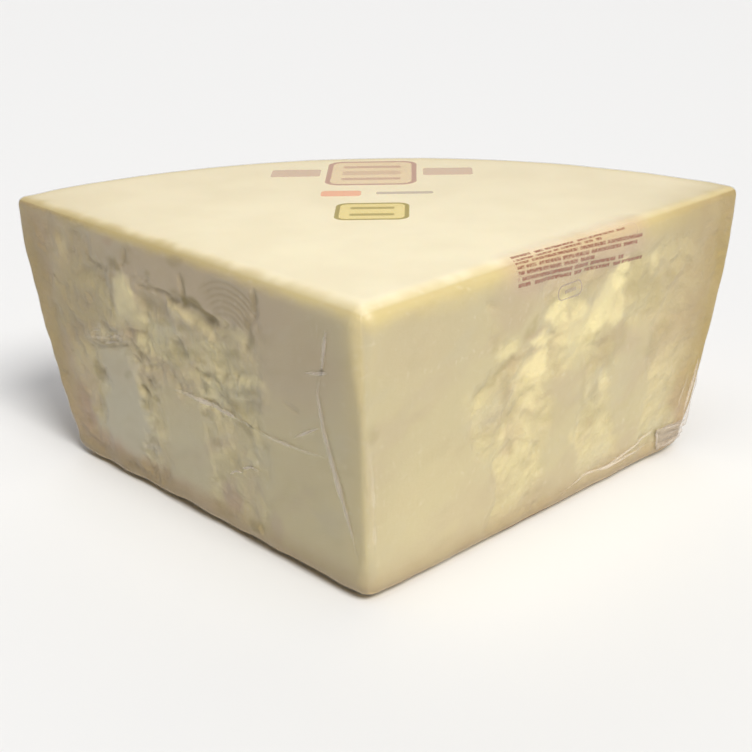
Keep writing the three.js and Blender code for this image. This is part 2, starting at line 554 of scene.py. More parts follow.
@dataclass
class BrokenFace:
    """One upright face: cut near the front edge, broken behind, with its film drawn over it.

    Attributes:
        side: Which face it is.
        sector: The wedge that it belongs to.
        plates: Where the cut is left.
        hollows: The larger flakes that broke away.
        grooves: The cracks.
        ripples: Knife marks.
        stains: Its patches of each tone.
        seed: Picks the random lumps.
        roughness: How rough the break is.
        chunks: How far its flat grains stand out.
        lean: How far the break's lips rise for each millimetre away from the front edge.
        mottle: How strongly the tones vary.
        shade: How dark the painted shade in its pits is.
        soften: How many times the relief is averaged with its neighbours.
        step: Spacing of the lattice that the fields are worked out on.
        break_depth: How far the break lies below the cut.
        margin: Over which distance from the face's edges the relief dies out.
        bend: How far lumps bend the outlines of its features.
        mottling: For each tone the size of its random patches, their strength and its share on the cut.
        fields: What is worked out for every point of the lattice, by name.
    """

    side: Side
    sector: Sector
    plates: tuple[Plate, ...]
    hollows: tuple[Hollow, ...]
    grooves: tuple[Groove, ...]
    stains: dict[Tone, tuple[Stain | Patch, ...]]
    ripples: tuple[Ripples, ...] = ()
    seed: float = 1.0
    roughness: float = 0.7
    chunks: float = 0.5
    lean: float = 0.3
    mottle: float = 1.0
    shade: float = 0.6
    soften: int = 0
    step: float = 0.6
    break_depth: float = 0.9
    margin: float = 8.0
    bend: float = 2.2
    mottling: dict[Tone, tuple[float, float, float]] = field(default_factory=lambda: {
        Tone.PINK: (19.0, 0.4, 0.7),
        Tone.GREY: (15.0, 0.35, 0.5),
        Tone.BUTTER: (13.0, 0.4, 0.0),
        Tone.OLIVE: (7.0, 0.25, 0.3),
        Tone.BROWN: (23.0, 0.12, 0.5),
    })
    fields: dict[str, Array] = field(default_factory=dict)

    def __post_init__(self) -> None:
        """Works out the face's fields once."""
        along, height = np.meshgrid(
            np.arange(0.0, self.sector.wheel_radius + 2.0, self.step),
            np.arange(0.0, self.sector.height + 2.0, self.step),
        )
        bent = [
            place + self.bend * layered(along, height, 15.0, self.seed + shift, 3)
            for place, shift in ((along, 61.0), (height, 67.0))
        ]
        self.fields["broken"] = self._broken(along, height)
        self.fields["relief"] = self._relief(along, height, *bent)
        self._stain(along, height, *bent)
        self.fields["film"] = self._film()

    def _broken(self, along: Array, height: Array) -> Array:
        """How much of each point is break and not cut, from 0 to 1."""
        a = along + 9.0 * layered(along, height, 25.0, self.seed, 4)
        h = height + 8.0 * layered(along, height, 25.0, self.seed + 7.0, 4)
        return 1.0 - np.max([plate.calm * plate.cover(a, h) for plate in self.plates], axis=0)

    def _relief(self, along: Array, height: Array, a: Array, h: Array) -> Array:
        """How far each point stands out of the face's cut plane.

        Args:
            along: Distances from the front edge.
            height: Heights above the foot.
            a: The distances, bent by lumps.
            h: The heights, bent by lumps.

        Returns:
            One value for each point, below 0 inward.
        """
        rough = 1.5 * flakes(a, h, 12.0, self.lean, self.seed + 41.0)
        rough += 0.7 * flakes(a, h, 5.5, self.lean, self.seed + 43.0)
        rough -= 1.0 * layered(along, height, 17.0, self.seed + 47.0, 3)
        large, self.fields["grain"] = grains(a, h, 13.0, self.seed)
        small, _ = grains(a, h, 5.5, self.seed + 3.0)
        rough += self.chunks * (1.6 * large + 0.7 * small)
        depth = self.fields["broken"] * (self.break_depth + self.roughness * rough)
        steps = [hollow.depth_at(a, h) for hollow in self.hollows]
        depth = blurred(depth + np.max(steps, axis=0) + np.min(steps, axis=0), self.soften)
        a, h = (along + a) / 2, (height + h) / 2
        self.fields["cracks"] = np.max([groove.depth_at(a, h) for groove in self.grooves], axis=0)
        depth += self.fields["cracks"]
        for arcs in self.ripples:
            depth += arcs.depth_at(along, height)
        depth += 0.3 * lumps(along, height, 34.0, self.seed + 71.0)
        edge = np.minimum(np.minimum(along, height), self.sector.height - height)
        edge = np.minimum(edge, self.sector.rind_radius(height) - along)
        return -depth * ease(edge, 0.0, self.margin)

    def _stain(self, along: Array, height: Array, a: Array, h: Array) -> None:
        """Works out how much of each tone every point has, and adds painted shade in pits, cracks and knife
        marks to the olive field.

        Args:
            along: Distances from the front edge.
            height: Heights above the foot.
            a: The distances, bent by lumps.
            h: The heights, bent by lumps.
        """
        relief, broken = self.fields["relief"], self.fields["broken"]
        wild_a = along + 2.6 * layered(along, height, 8.0, self.seed + 81.0, 3)
        wild_h = height + 2.2 * layered(along, height, 8.0, self.seed + 87.0, 3)
        streak = height - self.lean * along
        for tone, (size, strength, everywhere) in self.mottling.items():
            covers = [stain.cover(wild_a, wild_h) for stain in self.stains.get(tone, ())]
            field_here = layered(0.45 * a, streak + h - height, size, self.seed + 33.0 + size)
            patches = self.mottle * strength * ease(field_here, 0.0, 0.75)
            covers.append(patches * (everywhere + (1.0 - everywhere) * broken))
            self.fields[tone.value] = np.max(covers, axis=0)
        pale = 0.35 * self.chunks * broken * ease(self.fields["grain"], 0.45, 1.0)
        butter = np.maximum(self.fields["butter"], pale)
        self.fields["butter"] = butter
        # Painted shade: points darken by how far they sink below their surroundings, cracks and knife-mark
        # grooves darken too, and all of it joins the olive field.
        near = ease(blurred(relief, 20) - relief, 0.08, 0.9)
        far = ease(blurred(relief, 160) - relief, 0.8, 4.0)
        pits = self.shade * (0.8 * near + 0.3 * far) * (1.0 - 0.8 * butter)
        cracks = 0.8 * ease(self.fields["cracks"], 0.3, 2.4)
        for arcs in self.ripples:
            cracks = np.maximum(cracks, 0.38 / arcs.depth * arcs.depth_at(along, height))
        self.fields["olive"] = np.maximum(self.fields["olive"], np.maximum(pits, cracks))

    def _film(self) -> Array:
        """How far the film stands out of the face's cut plane: tight over the break, across its pits."""
        relief = self.fields["relief"]
        film = relief
        for _ in range(40):
            film = np.maximum(relief, blurred(film, 1))
        return film

    def sample(self, name: str, along: Array, height: Array) -> Array:
        """A field's values at any points of the face.

        Args:
            name: The field.
            along: Distances from the front edge.
            height: Heights above the foot.

        Returns:
            One value for each point.
        """
        values = self.fields[name]
        column = np.clip(along / self.step, 0.0, values.shape[1] - 1.001)
        row = np.clip(height / self.step, 0.0, values.shape[0] - 1.001)
        c, r = column.astype(int), row.astype(int)
        u, v = column - c, row - r
        low = values[r, c] * (1.0 - u) + values[r, c + 1] * u
        high = values[r + 1, c] * (1.0 - u) + values[r + 1, c + 1] * u
        return low * (1.0 - v) + high * v

    def surface(self, along: Array, height: Array, lift: Array) -> Array:
        """Points on the film over this face.

        Args:
            along: Distances from the front edge.
            height: Heights above the foot.
            lift: Distances out of the film.

        Returns:
            One row of x, y and z for each point, in the plan.
        """
        sharp = along[:, None] * self.side.along + height[:, None] * UP
        points, out = self.sector.softened(sharp)
        return points + self.side.out * self.sample("film", along, height)[:, None] + out * lift[:, None]


@dataclass(frozen=True)
class RindWall:
    """The film over the rind, measured along its arc from the right face to the left.

    Attributes:
        sector: The wedge.
    """

    sector: Sector

    def surface(self, along: Array, height: Array, lift: Array) -> Array:
        """Points on the film over the rind.

        Args:
            along: Distances along the wheel's arc from the right face.
            height: Heights above the foot.
            lift: Distances out of the film.

        Returns:
            One row of x, y and z for each point, in the plan.
        """
        turn = along / (self.sector.wheel_radius * math.pi / 2)
        sharp = self.sector.sharp(np.ones_like(turn), turn, height)
        points, out = self.sector.softened(sharp)
        points[:, :2] += sharp[:, :2] / self.sector.wheel_radius * self.sector.wave(turn, height)[:, None]
        return points + out * lift[:, None]


class Region(Enum):
    """The stretches of the wedge's surface, with the corner of each in the texture sheet."""

    LEFT = (4.0, 4.0)
    RIGHT = (232.0, 4.0)
    TOP = (4.0, 124.0)
    FOOT = (326.0, 124.0)
    RIND = (4.0, 354.0)


@dataclass
class WedgeShell:
    """A closed mesh of the sector: an upright grid turned a quarter about the front edge.

    Attributes:
        sector: The wedge.
        faces: Its two upright faces.
        cells_along: Cells from the front edge to the rind.
        cells_up: Cells up the height.
        cells_round: Cells round the quarter turn.
        inset: How far the mesh lies inside the film's own surface.
        relief: Name of the field that shapes the upright faces.
        spacing: Even shares of the radius, and the shares that they move to, closer where the face is broken.
        sheet: Width of the texture sheet.
        gather: How strongly the cells of the quarter turn gather near the two faces.
        share: Each point's distance from the front edge, as a share of the rind's radius.
        turn: Each point's share of the quarter turn, from the right face to the left.
        height: Each point's height above the foot.
        along: Each point's distance from the front edge.
        outer: Each point's distance from the rind.
        left: How much each point counts to the left half, from 0 to 1.
        level: Which points lie on the level top.
        sharp: Each point before the edges are softened.
    """

    sector: Sector
    faces: dict[Side, BrokenFace]
    cells_along: int
    cells_up: int
    cells_round: int
    inset: float
    relief: str
    spacing: tuple[tuple[float, ...], tuple[float, ...]] = ((0.0, 0.15, 0.84, 1.0), (0.0, 0.25, 0.8, 1.0))
    sheet: float = 640.0
    gather: float = 0.86
    share: Array = field(init=False)
    turn: Array = field(init=False)
    height: Array = field(init=False)
    along: Array = field(init=False)
    outer: Array = field(init=False)
    left: Array = field(init=False)
    level: Array = field(init=False)
    sharp: Array = field(init=False)

    def build(self, name: str, material: bpy.types.Material) -> bpy.types.Object:
        """Makes the mesh, shapes it and gives it its texture map.

        Args:
            name: Name of the new piece.
            material: Its finish.

        Returns:
            The piece, at the origin.
        """
        shell = bmesh.new()
        cells = {"x_segments": self.cells_along, "y_segments": self.cells_up, "size": 0.5}
        upright = Matrix.Translation((0.5, 0.0, 0.5)) @ Matrix.Rotation(math.pi / 2, 4, "X")
        bmesh.ops.create_grid(shell, **cells, matrix=upright)
        rim = [edge for edge in shell.edges if edge.is_boundary]
        bmesh.ops.create_grid(shell, **cells, matrix=Matrix.Rotation(math.pi / 2, 4, "Z") @ upright)
        corners = list({corner for edge in rim for corner in edge.verts})
        bmesh.ops.spin(
            shell, geom=corners + rim, cent=(0, 0, 0), axis=(0, 0, 1),
            angle=math.pi / 2, steps=self.cells_round, use_merge=False, use_duplicate=False,
        )
        bmesh.ops.remove_doubles(shell, verts=shell.verts[:], dist=1e-5)
        piece = finished(name, shell, material)
        self._shape(piece.data)
        return piece

    def _shape(self, mesh: bpy.types.Mesh) -> None:
        """Moves the turned grid's points onto the wedge and records where each one lies."""
        flat = np.empty(len(mesh.vertices) * 3)
        mesh.vertices.foreach_get("co", flat)
        x, y, rise = flat.reshape(-1, 3).T
        self.share = np.interp(np.hypot(x, y), *self.spacing)
        even = np.where(self.share > 1e-6, np.arctan2(y, x) / (math.pi / 2), 0.5)
        self.turn = even - self.gather * np.sin(2.0 * math.pi * even) / (2.0 * math.pi)
        self.height = np.clip(rise, 0.0, 1.0) * self.sector.height
        self.along = self.share * self.sector.rind_radius(self.height)
        self.outer = self.sector.rind_radius(self.height) - self.along
        self.left = ease(self.turn, 0.3, 0.7)
        self.level = self.height > self.sector.height - TINY
        self.sharp = self.sector.sharp(self.share, self.turn, self.height)
        points, out = self.sector.softened(self.sharp)
        points -= out * self.inset
        wave = self.sector.wave(self.turn, self.height) * ease(self.share, 0.93, 1.0)
        points[:, :2] += self.sharp[:, :2] / self.sector.wheel_radius * wave[:, None]
        for side, face in self.faces.items():
            mine = self.on_face(side)
            relief = face.sample(self.relief, self.along[mine], self.height[mine])
            points[mine] += side.out * relief[:, None]
        mesh.vertices.foreach_set("co", self.sector.in_frame(points).ravel())
        self._unwrap(mesh)
        mesh.update()

    def on_face(self, side: Side) -> Array:
        """Which points lie on an upright face, the front edge counting to both."""
        wanted = 0.0 if side is Side.RIGHT else 1.0
        return (np.abs(self.turn - wanted) < 1e-4) | (self.share < 1e-6)

    def _unwrap(self, mesh: bpy.types.Mesh) -> None:
        """Lays the wedge's five stretches out flat in one texture sheet."""
        corners = np.empty(len(mesh.loops), int)
        mesh.loops.foreach_get("vertex_index", corners)
        starts = np.empty(len(mesh.polygons), int)
        mesh.polygons.foreach_get("loop_start", starts)
        across, inward, _ = self.sharp.T
        radii = (self.sector.wheel_radius, self.sector.foot_radius)
        half_top, half_foot = (radius * math.sqrt(0.5) for radius in radii)
        arc = self.turn * self.sector.wheel_radius * math.pi / 2
        tests = {
            Region.RIGHT: (self.on_face(Side.RIGHT), self.along, self.height),
            Region.LEFT: (self.on_face(Side.LEFT), self.along, self.height),
            Region.TOP: (self.level, across + half_top, inward),
            Region.FOOT: (self.height < TINY, across + half_foot, inward),
            Region.RIND: (self.share > 1.0 - 1e-5, arc, self.height),
        }
        spots = np.zeros((len(corners), 2))
        owner = np.repeat(np.arange(len(starts)), np.diff(starts, append=len(corners)))
        for region, (member, *flat) in tests.items():
            whole = np.minimum.reduceat(member[corners].astype(int), starts) == 1
            mine = whole[owner]
            for axis in (0, 1):
                spots[mine, axis] = flat[axis][corners[mine]] + region.value[axis]
        sheet = mesh.uv_layers.new(name="OFBake")
        sheet.data.foreach_set("uv", (spots / self.sheet).ravel())

    def paint(self, mesh: bpy.types.Mesh, name: str, values: Array) -> None:
        """Stores one number for each point, for a finish to read.

        Args:
            mesh: The piece's mesh.
            name: The attribute.
            values: One number for each point.
        """
        layer = mesh.attributes.new(name, "FLOAT", "POINT")
        layer.data.foreach_set("value", values.astype(np.float32))

    def face_values(self, name: str) -> Array:
        """A field of the faces for every point of the mesh, 0 off the faces."""
        values = np.zeros_like(self.share)
        for side, face in self.faces.items():
            mine = self.on_face(side)
            values[mine] = face.sample(name, self.along[mine], self.height[mine])
        return values


class Nodes:
    """The node tree of a material or a world, with short ways to add to it."""

    def __init__(self, owner: bpy.types.Material | bpy.types.World, output: str = "OutputMaterial") -> None:
        """Starts an empty tree.

        Args:
            owner: The material or the world.
            output: Type of the node that ends its tree.
        """
        self.owner = owner
        self.owner.use_nodes = True
        self.tree = self.owner.node_tree
        self.tree.nodes.clear()
        self.end = self.add(output)

    def put(self, socket: Socket, value: object) -> None:
        """Links a socket to another's output, or sets its own value."""
        if isinstance(value, Socket):
            self.tree.links.new(value, socket)
        else:
            socket.default_value = value

    def add(self, kind: str, settings: dict[str, object] | None = None, **inputs: object) -> bpy.types.Node:
        """Adds a node.

        Args:
            kind: The node's type, without its prefix.
            settings: The node's own options.
            inputs: Values or outputs for its sockets, with _ for a space.

        Returns:
            The node.
        """
        node = self.tree.nodes.new("ShaderNode" + kind)
        for option, value in (settings or {}).items():
            setattr(node, option, value)
        for socket, value in inputs.items():
            self.put(node.inputs[socket.replace("_", " ")], value)
        return node

    def maths(self, operation: str, a: object, b: object = 0.0, c: object = 0.0) -> Socket:
        """One sum of numbers.

        Args:
            operation: What is done.
            a: The first number.
            b: The second number.
            c: The third number.

        Returns:
            The result's output.
        """
        node = self.add("Math", {"operation": operation})
        for socket, value in zip(node.inputs, (a, b, c)):
            self.put(socket, value)
        return node.outputs[0]

    def times(self, *values: object) -> Socket:
        """The product of two or more numbers."""
        return reduce(lambda a, b: self.maths("MULTIPLY", a, b), values)

    def outside(self, value: object, middle: float, half: float) -> Socket:
        """How far a number lies outside a span around its middle, below 0 within it."""
        return self.maths("SUBTRACT", self.maths("ABSOLUTE", self.maths("SUBTRACT", value, middle)), half)

    def step(self, value: object, low: float, high: float) -> Socket:
        """A smooth step from 0 at low to 1 at high."""
        node = self.add("MapRange", {"interpolation_type": "SMOOTHSTEP"}, Value=value)
        self.put(node.inputs["From Min"], low)
        self.put(node.inputs["From Max"], high)
        return node.outputs[0]

    def blend(self, share: object, a: object, b: object, way: str = "MIX") -> Socket:
        """A mix of two colours.

        Args:
            share: How much of the second colour there is.
            a: The first colour.
            b: The second colour.
            way: How they are mixed.

        Returns:
            The colour's output.
        """
        node = self.add("Mix", {"data_type": "RGBA", "blend_type": way})
        for socket, value in zip((node.inputs[0], node.inputs[6], node.inputs[7]), (share, a, b)):
            self.put(socket, (*value, 1.0) if isinstance(value, tuple) else value)
        return node.outputs[2]

    def both(self, share: object, a: Socket, b: Socket) -> Socket:
        """A mix of two shaders.

        Args:
            share: How much of the second shader there is.
            a: The first shader.
            b: The second shader.

        Returns:
            The mixed shader's output.
        """
        node = self.add("MixShader")
        for socket, value in zip(node.inputs, (share, a, b)):
            self.put(socket, value)
        return node.outputs[0]

    def attribute(self, name: str) -> Socket:
        """The number that a piece's points carry under a name."""
        return self.add("Attribute", {"attribute_name": name}).outputs["Fac"]

    @property
    def place(self) -> Socket:
        """Coordinates in the piece's own space."""
        return self.add("TexCoord").outputs["Object"]

    def grain(self, size: float, detail: float = 2.0, roughness: float = 0.5) -> Socket:
        """Noise in the piece's own space.

        Args:
            size: Width of its features in metres.
            detail: How many finer layers it has.
            roughness: How strong the finer layers are.

        Returns:
            The noise's value, from 0 to 1.
        """
        node = self.add("TexNoise", Vector=self.place, Scale=1.0 / size, Detail=detail, Roughness=roughness)
        return node.outputs[0]

    def finish(self, surface: Socket) -> bpy.types.Material | bpy.types.World:
        """Links the surface and hands over the tree's owner."""
        self.put(self.end.inputs["Surface"], surface)
        return self.owner


@dataclass(frozen=True)
class CheeseFinish:
    """Hard granular paste with its rind, as seen through film.

    Attributes:
        cut: Colour of the smooth cut.
        broken: Colour of the break.
        tones: Colours of the paler stains; the yellow one also stands for painted light on bright facets.
        olive: Colour of dark greenish stains, and of painted shade in pits, cracks, under lips and along the
            foot.
        brown: Colour of dark reddish stains, also laid along the foot as painted shade.
        top: Colour of the level cut on top, the same paste painted much lighter than the upright faces:
            painted light from above.
        far_top: Colour of the top near the rind.
        rim: Colour of the fatty edge round the top.
        ochre_and_shade: Colour of the darker line along that edge, which is partly painted shade.
        under_rind: Colour of the dry paste next to the rind.
        rind: Colour of the rind.
        worn_rind: Colour of the rind where it was brushed.
        rind_spots: Colour of the rind's small spots.
        marbling: Colour of the faint marbling.
        crystals: Colour of the small pale crystals.
        flecks: How strongly marbling and crystals show.
    """

    cut: Colour = (0.562, 0.482, 0.272)
    broken: Colour = (0.58, 0.492, 0.262)
    tones: tuple[tuple[Tone, Colour], ...] = (
        (Tone.PINK, (0.455, 0.34, 0.235)),
        (Tone.GREY, (0.505, 0.47, 0.35)),
        (Tone.BUTTER, (0.90, 0.785, 0.41)),
    )
    olive: Colour = (0.26, 0.19, 0.045)
    brown: Colour = (0.45, 0.29, 0.18)
    top: Colour = (0.945, 0.855, 0.61)
    far_top: Colour = (0.865, 0.77, 0.54)
    rim: Colour = (0.65, 0.53, 0.24)
    ochre_and_shade: Colour = (0.40, 0.295, 0.105)
    under_rind: Colour = (0.43, 0.315, 0.165)
    rind: Colour = (0.60, 0.43, 0.18)
    worn_rind: Colour = (0.70, 0.54, 0.28)
    rind_spots: Colour = (0.44, 0.28, 0.11)
    marbling: Colour = (0.62, 0.50, 0.28)
    crystals: Colour = (0.93, 0.88, 0.70)
    flecks: float = 0.12

    def build(self) -> bpy.types.Material:
        """Makes the material.

        Returns:
            The material.
        """
        n = Nodes(bpy.data.materials.new("cheese_paste"))
        colour = n.blend(n.attribute("broken"), self.cut, self.broken)
        # The yellow tone is partly painted light on the bright facets.
        for tone, hue in self.tones:
            colour = n.blend(n.attribute(tone.value), colour, hue)
        # The level top takes a much lighter colour than the same paste on the faces: painted light from
        # above.
        top = n.blend(n.attribute("far"), self.top, self.far_top)
        colour = n.blend(n.attribute("top"), colour, top)
        colour = n.blend(n.attribute("rim"), colour, self.rim)
        marbling = n.step(n.grain(0.028, 3.0), 0.35, 0.7)
        colour = n.blend(n.times(marbling, self.flecks), colour, self.marbling)
        crystals = n.step(n.grain(0.0022, 2.0), 0.60, 0.72)
        colour = n.blend(n.times(crystals, self.flecks), colour, self.crystals)
        # Dark reddish stains; the bands of it along the foot are painted shade.
        colour = n.blend(n.attribute("brown"), colour, self.brown)
        dry = n.times(n.attribute("dry"), n.maths("ADD", n.grain(0.012, 3.0), 0.45))
        colour = n.blend(n.maths("MINIMUM", dry, 1.0), colour, self.under_rind)
        # Dark greenish stains together with painted shade in pits, cracks, under lips and along the foot.
        colour = n.blend(n.attribute("olive"), colour, self.olive)
        # Darker bands along the top's edges and the rind; the left top edge's band is partly painted shade.
        colour = n.blend(n.attribute("ochre_and_shade"), colour, self.ochre_and_shade)
        colour = n.blend(n.attribute("rind"), colour, self._skin(n))
        rough = n.maths("ADD", n.times(n.grain(0.004), 0.2), 0.42)
        paste = n.add(
            "BsdfPrincipled", Base_Color=colour, Roughness=rough, Normal=self._crumb(n),
            Subsurface_Weight=0.1, Subsurface_Scale=0.002, Subsurface_Radius=(1.0, 0.65, 0.3), IOR=1.45,
        )
        return n.finish(paste.outputs[0])

    def _skin(self, n: Nodes) -> Socket:
        """The rind's colour: brushed areas, clouds and small spots.

        Args:
            n: The material's nodes.

        Returns:
            The colour's output.
        """
        skin = n.blend(n.step(n.grain(0.03, 5.0, 0.6), 0.35, 0.7), self.rind, self.worn_rind)
        clouds = n.step(n.grain(0.012, 4.0, 0.6), 0.5, 0.72)
        skin = n.blend(n.times(clouds, 0.3), skin, self.rind_spots)
        spots = n.step(n.grain(0.004, 2.0, 0.6), 0.62, 0.75)
        return n.blend(n.times(spots, 0.5), skin, self.rind_spots)

    def _crumb(self, n: Nodes) -> Socket:
        """The fine grain all over, with coarse crumbs on the break and the rind.

        Args:
            n: The material's nodes.

        Returns:
            The bumped normal's output.
        """
        fine = n.add("Bump", Height=n.grain(0.0014, 3.0, 0.6), Strength=0.2, Distance=0.0004)
        cells = n.add("TexVoronoi", Vector=n.place, Scale=330.0, Detail=1.0, Roughness=0.5)
        crumb = cells.outputs["Distance"]
        crumb = n.maths("ADD", crumb, n.grain(0.0035, 4.0, 0.65))
        coarse = n.maths("MAXIMUM", n.attribute("broken"), n.times(n.attribute("rind"), 0.7))
        chip = n.times(crumb, n.maths("MULTIPLY_ADD", coarse, 0.95, 0.05))
        lumpy = n.add("Bump", Height=chip, Strength=0.3, Distance=0.0011, Normal=fine.outputs[0])
        return lumpy.outputs[0]


@dataclass(frozen=True)
class Mark:
    """A plain printed shape: a rounded rectangle, filled or as an outline.

    Attributes:
        x: Where its middle is, across.
        y: Where its middle is, upward.
        wide: Its size across.
        tall: Its size upward.
        corner: Radius of its corners.
        ink: Its colour.
        strength: How much of the ground it covers.
        line: Width of the outline, or 0 for a filled shape.
        soft: How far its edge fades.
    """

    x: float
    y: float
    wide: float
    tall: float
    corner: float
    ink: Colour
    strength: float
    line: float = 0.0
    soft: float = 0.5

    def cover(self, n: Nodes, across: object, upward: object) -> Socket:
        """How much of each point is printed.

        Args:
            n: The material's nodes.
            across: The print's own coordinate across, in millimetres.
            upward: The print's own coordinate upward, in millimetres.

        Returns:
            The share's output, from 0 to 1.
        """
        u = n.outside(across, self.x, self.wide / 2 - self.corner)
        v = n.outside(upward, self.y, self.tall / 2 - self.corner)
        beyond = n.add("CombineXYZ", X=n.maths("MAXIMUM", u, 0.0), Y=n.maths("MAXIMUM", v, 0.0)).outputs[0]
        reach = n.add("VectorMath", {"operation": "LENGTH"}, Vector=beyond).outputs["Value"]
        within = n.maths("MINIMUM", n.maths("MAXIMUM", u, v), 0.0)
        reach = n.maths("SUBTRACT", n.maths("ADD", reach, within), self.corner)
        share = n.step(reach, self.soft / 2, -self.soft / 2)
        if self.line:
            share = n.times(share, n.step(reach, -self.line - 0.2, -self.line + 0.2))
        return n.times(share, self.strength)


MAUVE: Colour = (0.45, 0.26, 0.23)
TAN: Colour = (0.62, 0.40, 0.22)
CORAL: Colour = (0.80, 0.27, 0.16)
GREY: Colour = (0.34, 0.27, 0.26)
YELLOW: Colour = (0.72, 0.56, 0.10)
OLIVE: Colour = (0.26, 0.21, 0.06)
BROWN: Colour = (0.26, 0.09, 0.06)
PINK: Colour = (0.58, 0.40, 0.33)

TOP_PRINT: tuple[Mark, ...] = (
    Mark(-36, 188, 22, 13, 1.5, MAUVE, 0.5),
    Mark(32, 188, 22, 13, 1.5, MAUVE, 0.5),
    Mark(-2, 187, 40, 44, 7, TAN, 0.38),
    Mark(-2, 187, 40, 44, 7, MAUVE, 0.75, 2.2),
    Mark(-2, 198, 26, 4, 1, MAUVE, 0.55),
    Mark(-2, 187, 26, 7, 1, MAUVE, 0.35),
    Mark(-2, 176, 26, 4, 1, MAUVE, 0.55),
    Mark(-14, 151, 17, 9, 2, CORAL, 0.6),
    Mark(13, 151, 24, 4, 1, GREY, 0.55),
    Mark(0, 122, 30, 26, 5, YELLOW, 0.55),
    Mark(0, 122, 30, 26, 5, OLIVE, 0.7, 1.8),
    Mark(0, 127, 18, 3.4, 1, OLIVE, 0.6),
    Mark(0, 117, 18, 3.4, 1, OLIVE, 0.6),
)
SIDE_PRINT: tuple[Mark, ...] = (
    Mark(112, -3, 82, 18, 8, PINK, 0.4, 0.0, 14.0),
    Mark(108, -19.5, 15, 6.5, 3.2, GREY, 0.5, 0.7),
    Mark(108, -19.5, 7, 1.6, 0.6, GREY, 0.45),
)


@dataclass(frozen=True)
class TextBlock:
    """Rows of plain dashes where a label's small print would stand.

    Attributes:
        first: Where the rows start along the edge.
        top: The upper end of the first row, over the edge onto the top.
        pitch: Distance between rows.
        rows: How many rows there are.
        shortest: Length of the shortest row.
        spread: How much longer the longest row is.
        slope: How far the rows sink for each millimetre along the edge.
        strength: How much of the ground the print covers.
    """

    first: float = 77.0
    top: float = 5.0
    pitch: float = 2.35
    rows: int = 7
    shortest: float = 44.0
    spread: float = 34.0
    slope: float = 0.08
    strength: float = 0.9

    def cover(self, n: Nodes, along: object, across: object) -> Socket:
        """How much of each point is printed.

        Args:
            n: The material's nodes.
            along: Distances from the front edge, in millimetres.
            across: Distances from the top's edge, in millimetres, below 0 down the face.

        Returns:
            The share's output, from 0 to 1.
        """
        sunk = n.maths("MULTIPLY_ADD", along, -self.slope, self.top + self.slope * self.first)
        count = n.maths("DIVIDE", n.maths("SUBTRACT", sunk, across), self.pitch)
        row = n.maths("FLOOR", count)
        place = n.maths("FRACT", count)
        bar = n.times(n.step(place, 0.06, 0.34), n.step(place, 0.94, 0.66))
        chance = n.add("TexWhiteNoise", {"noise_dimensions": "1D"}, W=row).outputs["Value"]
        end = n.maths("MULTIPLY_ADD", chance, self.spread, self.first + self.shortest)
        begun = n.step(along, self.first, self.first + 0.4)
        ends = n.times(begun, n.step(n.maths("SUBTRACT", end, along), 0.0, 0.4))
        rows = n.times(n.step(count, 0.0, 0.05), n.step(count, self.rows + 0.05, self.rows))
        gap_place = n.maths("MULTIPLY_ADD", row, 37.0, n.times(along, 0.3))
        gaps = n.add("TexNoise", {"noise_dimensions": "1D"}, W=gap_place, Scale=1.0, Detail=0.0).outputs[0]
        spot = n.add("CombineXYZ", X=n.times(along, 0.9), Y=n.times(across, 0.9)).outputs[0]
        wear = n.add("TexNoise", {"noise_dimensions": "2D"}, Vector=spot, Scale=1.0, Detail=1.0).outputs[0]
        worn = n.maths("MULTIPLY_ADD", n.step(wear, 0.36, 0.60), 0.55, 0.45)
        return n.times(bar, ends, rows, n.step(gaps, 0.24, 0.38), worn, self.strength)


